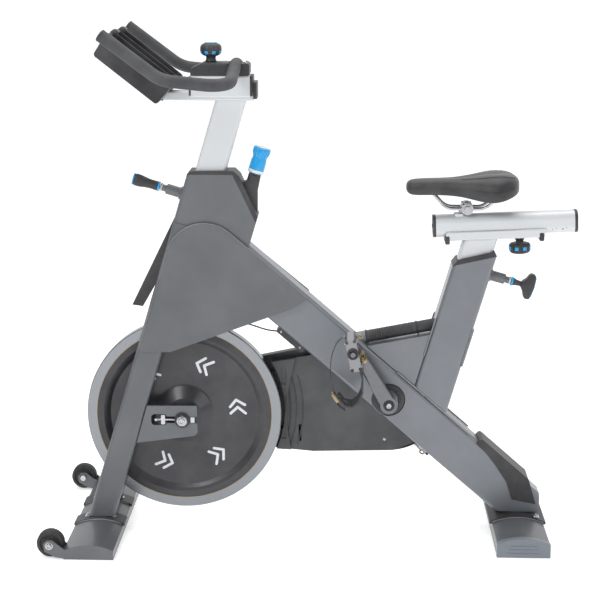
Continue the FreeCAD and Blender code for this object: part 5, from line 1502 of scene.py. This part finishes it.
class BIKE_OT_carry_handle(bpy.types.Operator):
    """Adds the carry handle's grip rings and stub"""

    bl_idname = "bike.carry_handle"
    bl_label = "Carry handle trim"

    def execute(self, context):
        at = turned((0.134, 0, 0.4835), -11.2)
        bm = bmesh.new()
        for x in [20 + 6 * number for number in range(18)]:
            lathe(bm, [(14.2, -1.6), (15.1, -0.9), (15.1, 0.9), (14.2, 1.6), (14.2, -1.6)],
                  facing((1, 0, 0), (x, 0, 0)), 48)
        for x in (134, 10):
            lathe(bm, [(14.4, -2), (16.4, -1.4), (16.8, 0), (16.4, 1.4), (14.4, 2),
                       (14.4, -2)], facing((1, 0, 0), (x, 0, 0)), 48)
        piece("handle_rings", bm, at, rubber(), "frame")
        bm = bmesh.new()
        lathe(bm, [(14.3, -22), (15, -21.4), (15, 7), (14.3, 7.6), (14.3, -22)],
              facing((1, 0, 0)), 48)
        piece("handle_stub", bm, at, cap_plastic(), "frame")
        return {"FINISHED"}


# Stage --------------------------------------------------------------------------------

class BIKE_OT_stage(bpy.types.Operator):
    """Sets the floor, the camera and the light"""

    bl_idname = "bike.stage"
    bl_label = "Stage"

    def execute(self, context):
        scene = context.scene
        bm = bmesh.new()
        bmesh.ops.create_grid(bm, x_segments=1, y_segments=1, size=400)
        mesh = bpy.data.meshes.new("floor")
        bm.to_mesh(mesh)
        bm.free()
        floor = bpy.data.objects.new("floor", mesh)
        floor.location.z = -0.0005
        scene.collection.objects.link(floor)
        pale = bpy.data.materials.new("pale_floor")
        pale.use_nodes = True
        face = pale.node_tree.nodes["Principled BSDF"]
        face.inputs["Base Color"].default_value = (0.9, 0.9, 0.9, 1)
        face.inputs["Roughness"].default_value = 0.7
        face.inputs["Emission Color"].default_value = (1, 1, 1, 1)
        face.inputs["Emission Strength"].default_value = 0.45
        mesh.materials.append(pale)

        camera = bpy.data.cameras.new("camera")
        camera.sensor_width = 36
        camera.lens = scene.bike_stage.lens
        camera.clip_end = 1000
        holder = bpy.data.objects.new("camera", camera)
        tilt = Matrix.Rotation(math.radians(90 - CAMERA_DOWN), 4, "X")
        pan = Matrix.Rotation(math.radians(CAMERA_PAN), 4, "Z")
        roll = Matrix.Rotation(math.radians(CAMERA_ROLL), 4, "Z")
        holder.matrix_world = Matrix.Translation(CAMERA_PLACE) @ pan @ tilt @ roll
        scene.collection.objects.link(holder)
        scene.camera = holder

        world = scene.world or bpy.data.worlds.new("studio")
        scene.world = world
        world.use_nodes = True
        sky = world.node_tree.nodes["Background"]
        sky.inputs["Color"].default_value = (1, 1, 1, 1)
        place = world.node_tree.nodes.new("ShaderNodeTexCoord").outputs["Generated"]
        split = world.node_tree.nodes.new("ShaderNodeSeparateXYZ")
        world.node_tree.links.new(place, split.inputs[0])
        power = scene.bike_stage.light
        glow = spread_node(world.node_tree, split.outputs["Y"], -0.3, 0.5, 0.4 * power, power)
        world.node_tree.links.new(glow, sky.inputs["Strength"])
        for name, place, aim, size, power in (
                ("key", (-1.8, -2.6, 3.0), (0, 0, 0.6), (1.6, 1.6), 55),
                ("fill", (2.6, -2.0, 2.0), (0, 0, 0.6), (1.4, 2.4), 20),
                ("top", (0, 0.4, 3.4), (0, 0, 0), (2.5, 2.0), 40)):
            lamp = bpy.data.lights.new(name, "AREA")
            lamp.shape = "RECTANGLE"
            lamp.size, lamp.size_y = size
            lamp.energy = power
            light = bpy.data.objects.new(name, lamp)
            heading = Vector(aim) - Vector(place)
            light.matrix_world = Matrix.Translation(place) @ heading.to_track_quat(
                "-Z", "Y").to_matrix().to_4x4()
            scene.collection.objects.link(light)
        scene.view_settings.view_transform = "Standard"
        return {"FINISHED"}


# Panel and registration ---------------------------------------------------------------

OPERATORS = (
    BIKE_OT_stage, BIKE_OT_paint, BIKE_OT_flywheel, BIKE_OT_tension_knob, BIKE_OT_pull_pins,
    BIKE_OT_clamp_knobs, BIKE_OT_cockpit, BIKE_OT_scales, BIKE_OT_saddle, BIKE_OT_slider,
    BIKE_OT_pedals, BIKE_OT_cranks, BIKE_OT_guard, BIKE_OT_welds, BIKE_OT_feet,
    BIKE_OT_wheels, BIKE_OT_carry_handle,
)


class BIKE_PT_panel(bpy.types.Panel):
    """Lists the bike's settings and steps"""

    bl_idname = "BIKE_PT_panel"
    bl_label = "Indoor Cycle"
    bl_space_type = "VIEW_3D"
    bl_region_type = "UI"
    bl_category = "Bike"

    def draw(self, context):
        for group in (context.scene.bike_colours, context.scene.bike_sizes,
                      context.scene.bike_stage):
            box = self.layout.box()
            for name in group.__annotations__:
                box.prop(group, name)
        for operator in OPERATORS:
            self.layout.operator(operator.bl_idname)


CLASSES = (BikeColours, BikeSizes, BikeStage, *OPERATORS, BIKE_PT_panel)


def register():
    for item in CLASSES:
        bpy.utils.register_class(item)
    bpy.types.Scene.bike_colours = bpy.props.PointerProperty(type=BikeColours)
    bpy.types.Scene.bike_sizes = bpy.props.PointerProperty(type=BikeSizes)
    bpy.types.Scene.bike_stage = bpy.props.PointerProperty(type=BikeStage)


def unregister():
    for name in ("bike_colours", "bike_sizes", "bike_stage"):
        delattr(bpy.types.Scene, name)
    for item in reversed(CLASSES):
        bpy.utils.unregister_class(item)


def main():
    register()
    for operator in OPERATORS:
        group, name = operator.bl_idname.split(".")
        getattr(getattr(bpy.ops, group), name)()


if __name__ == "__main__":
    main()
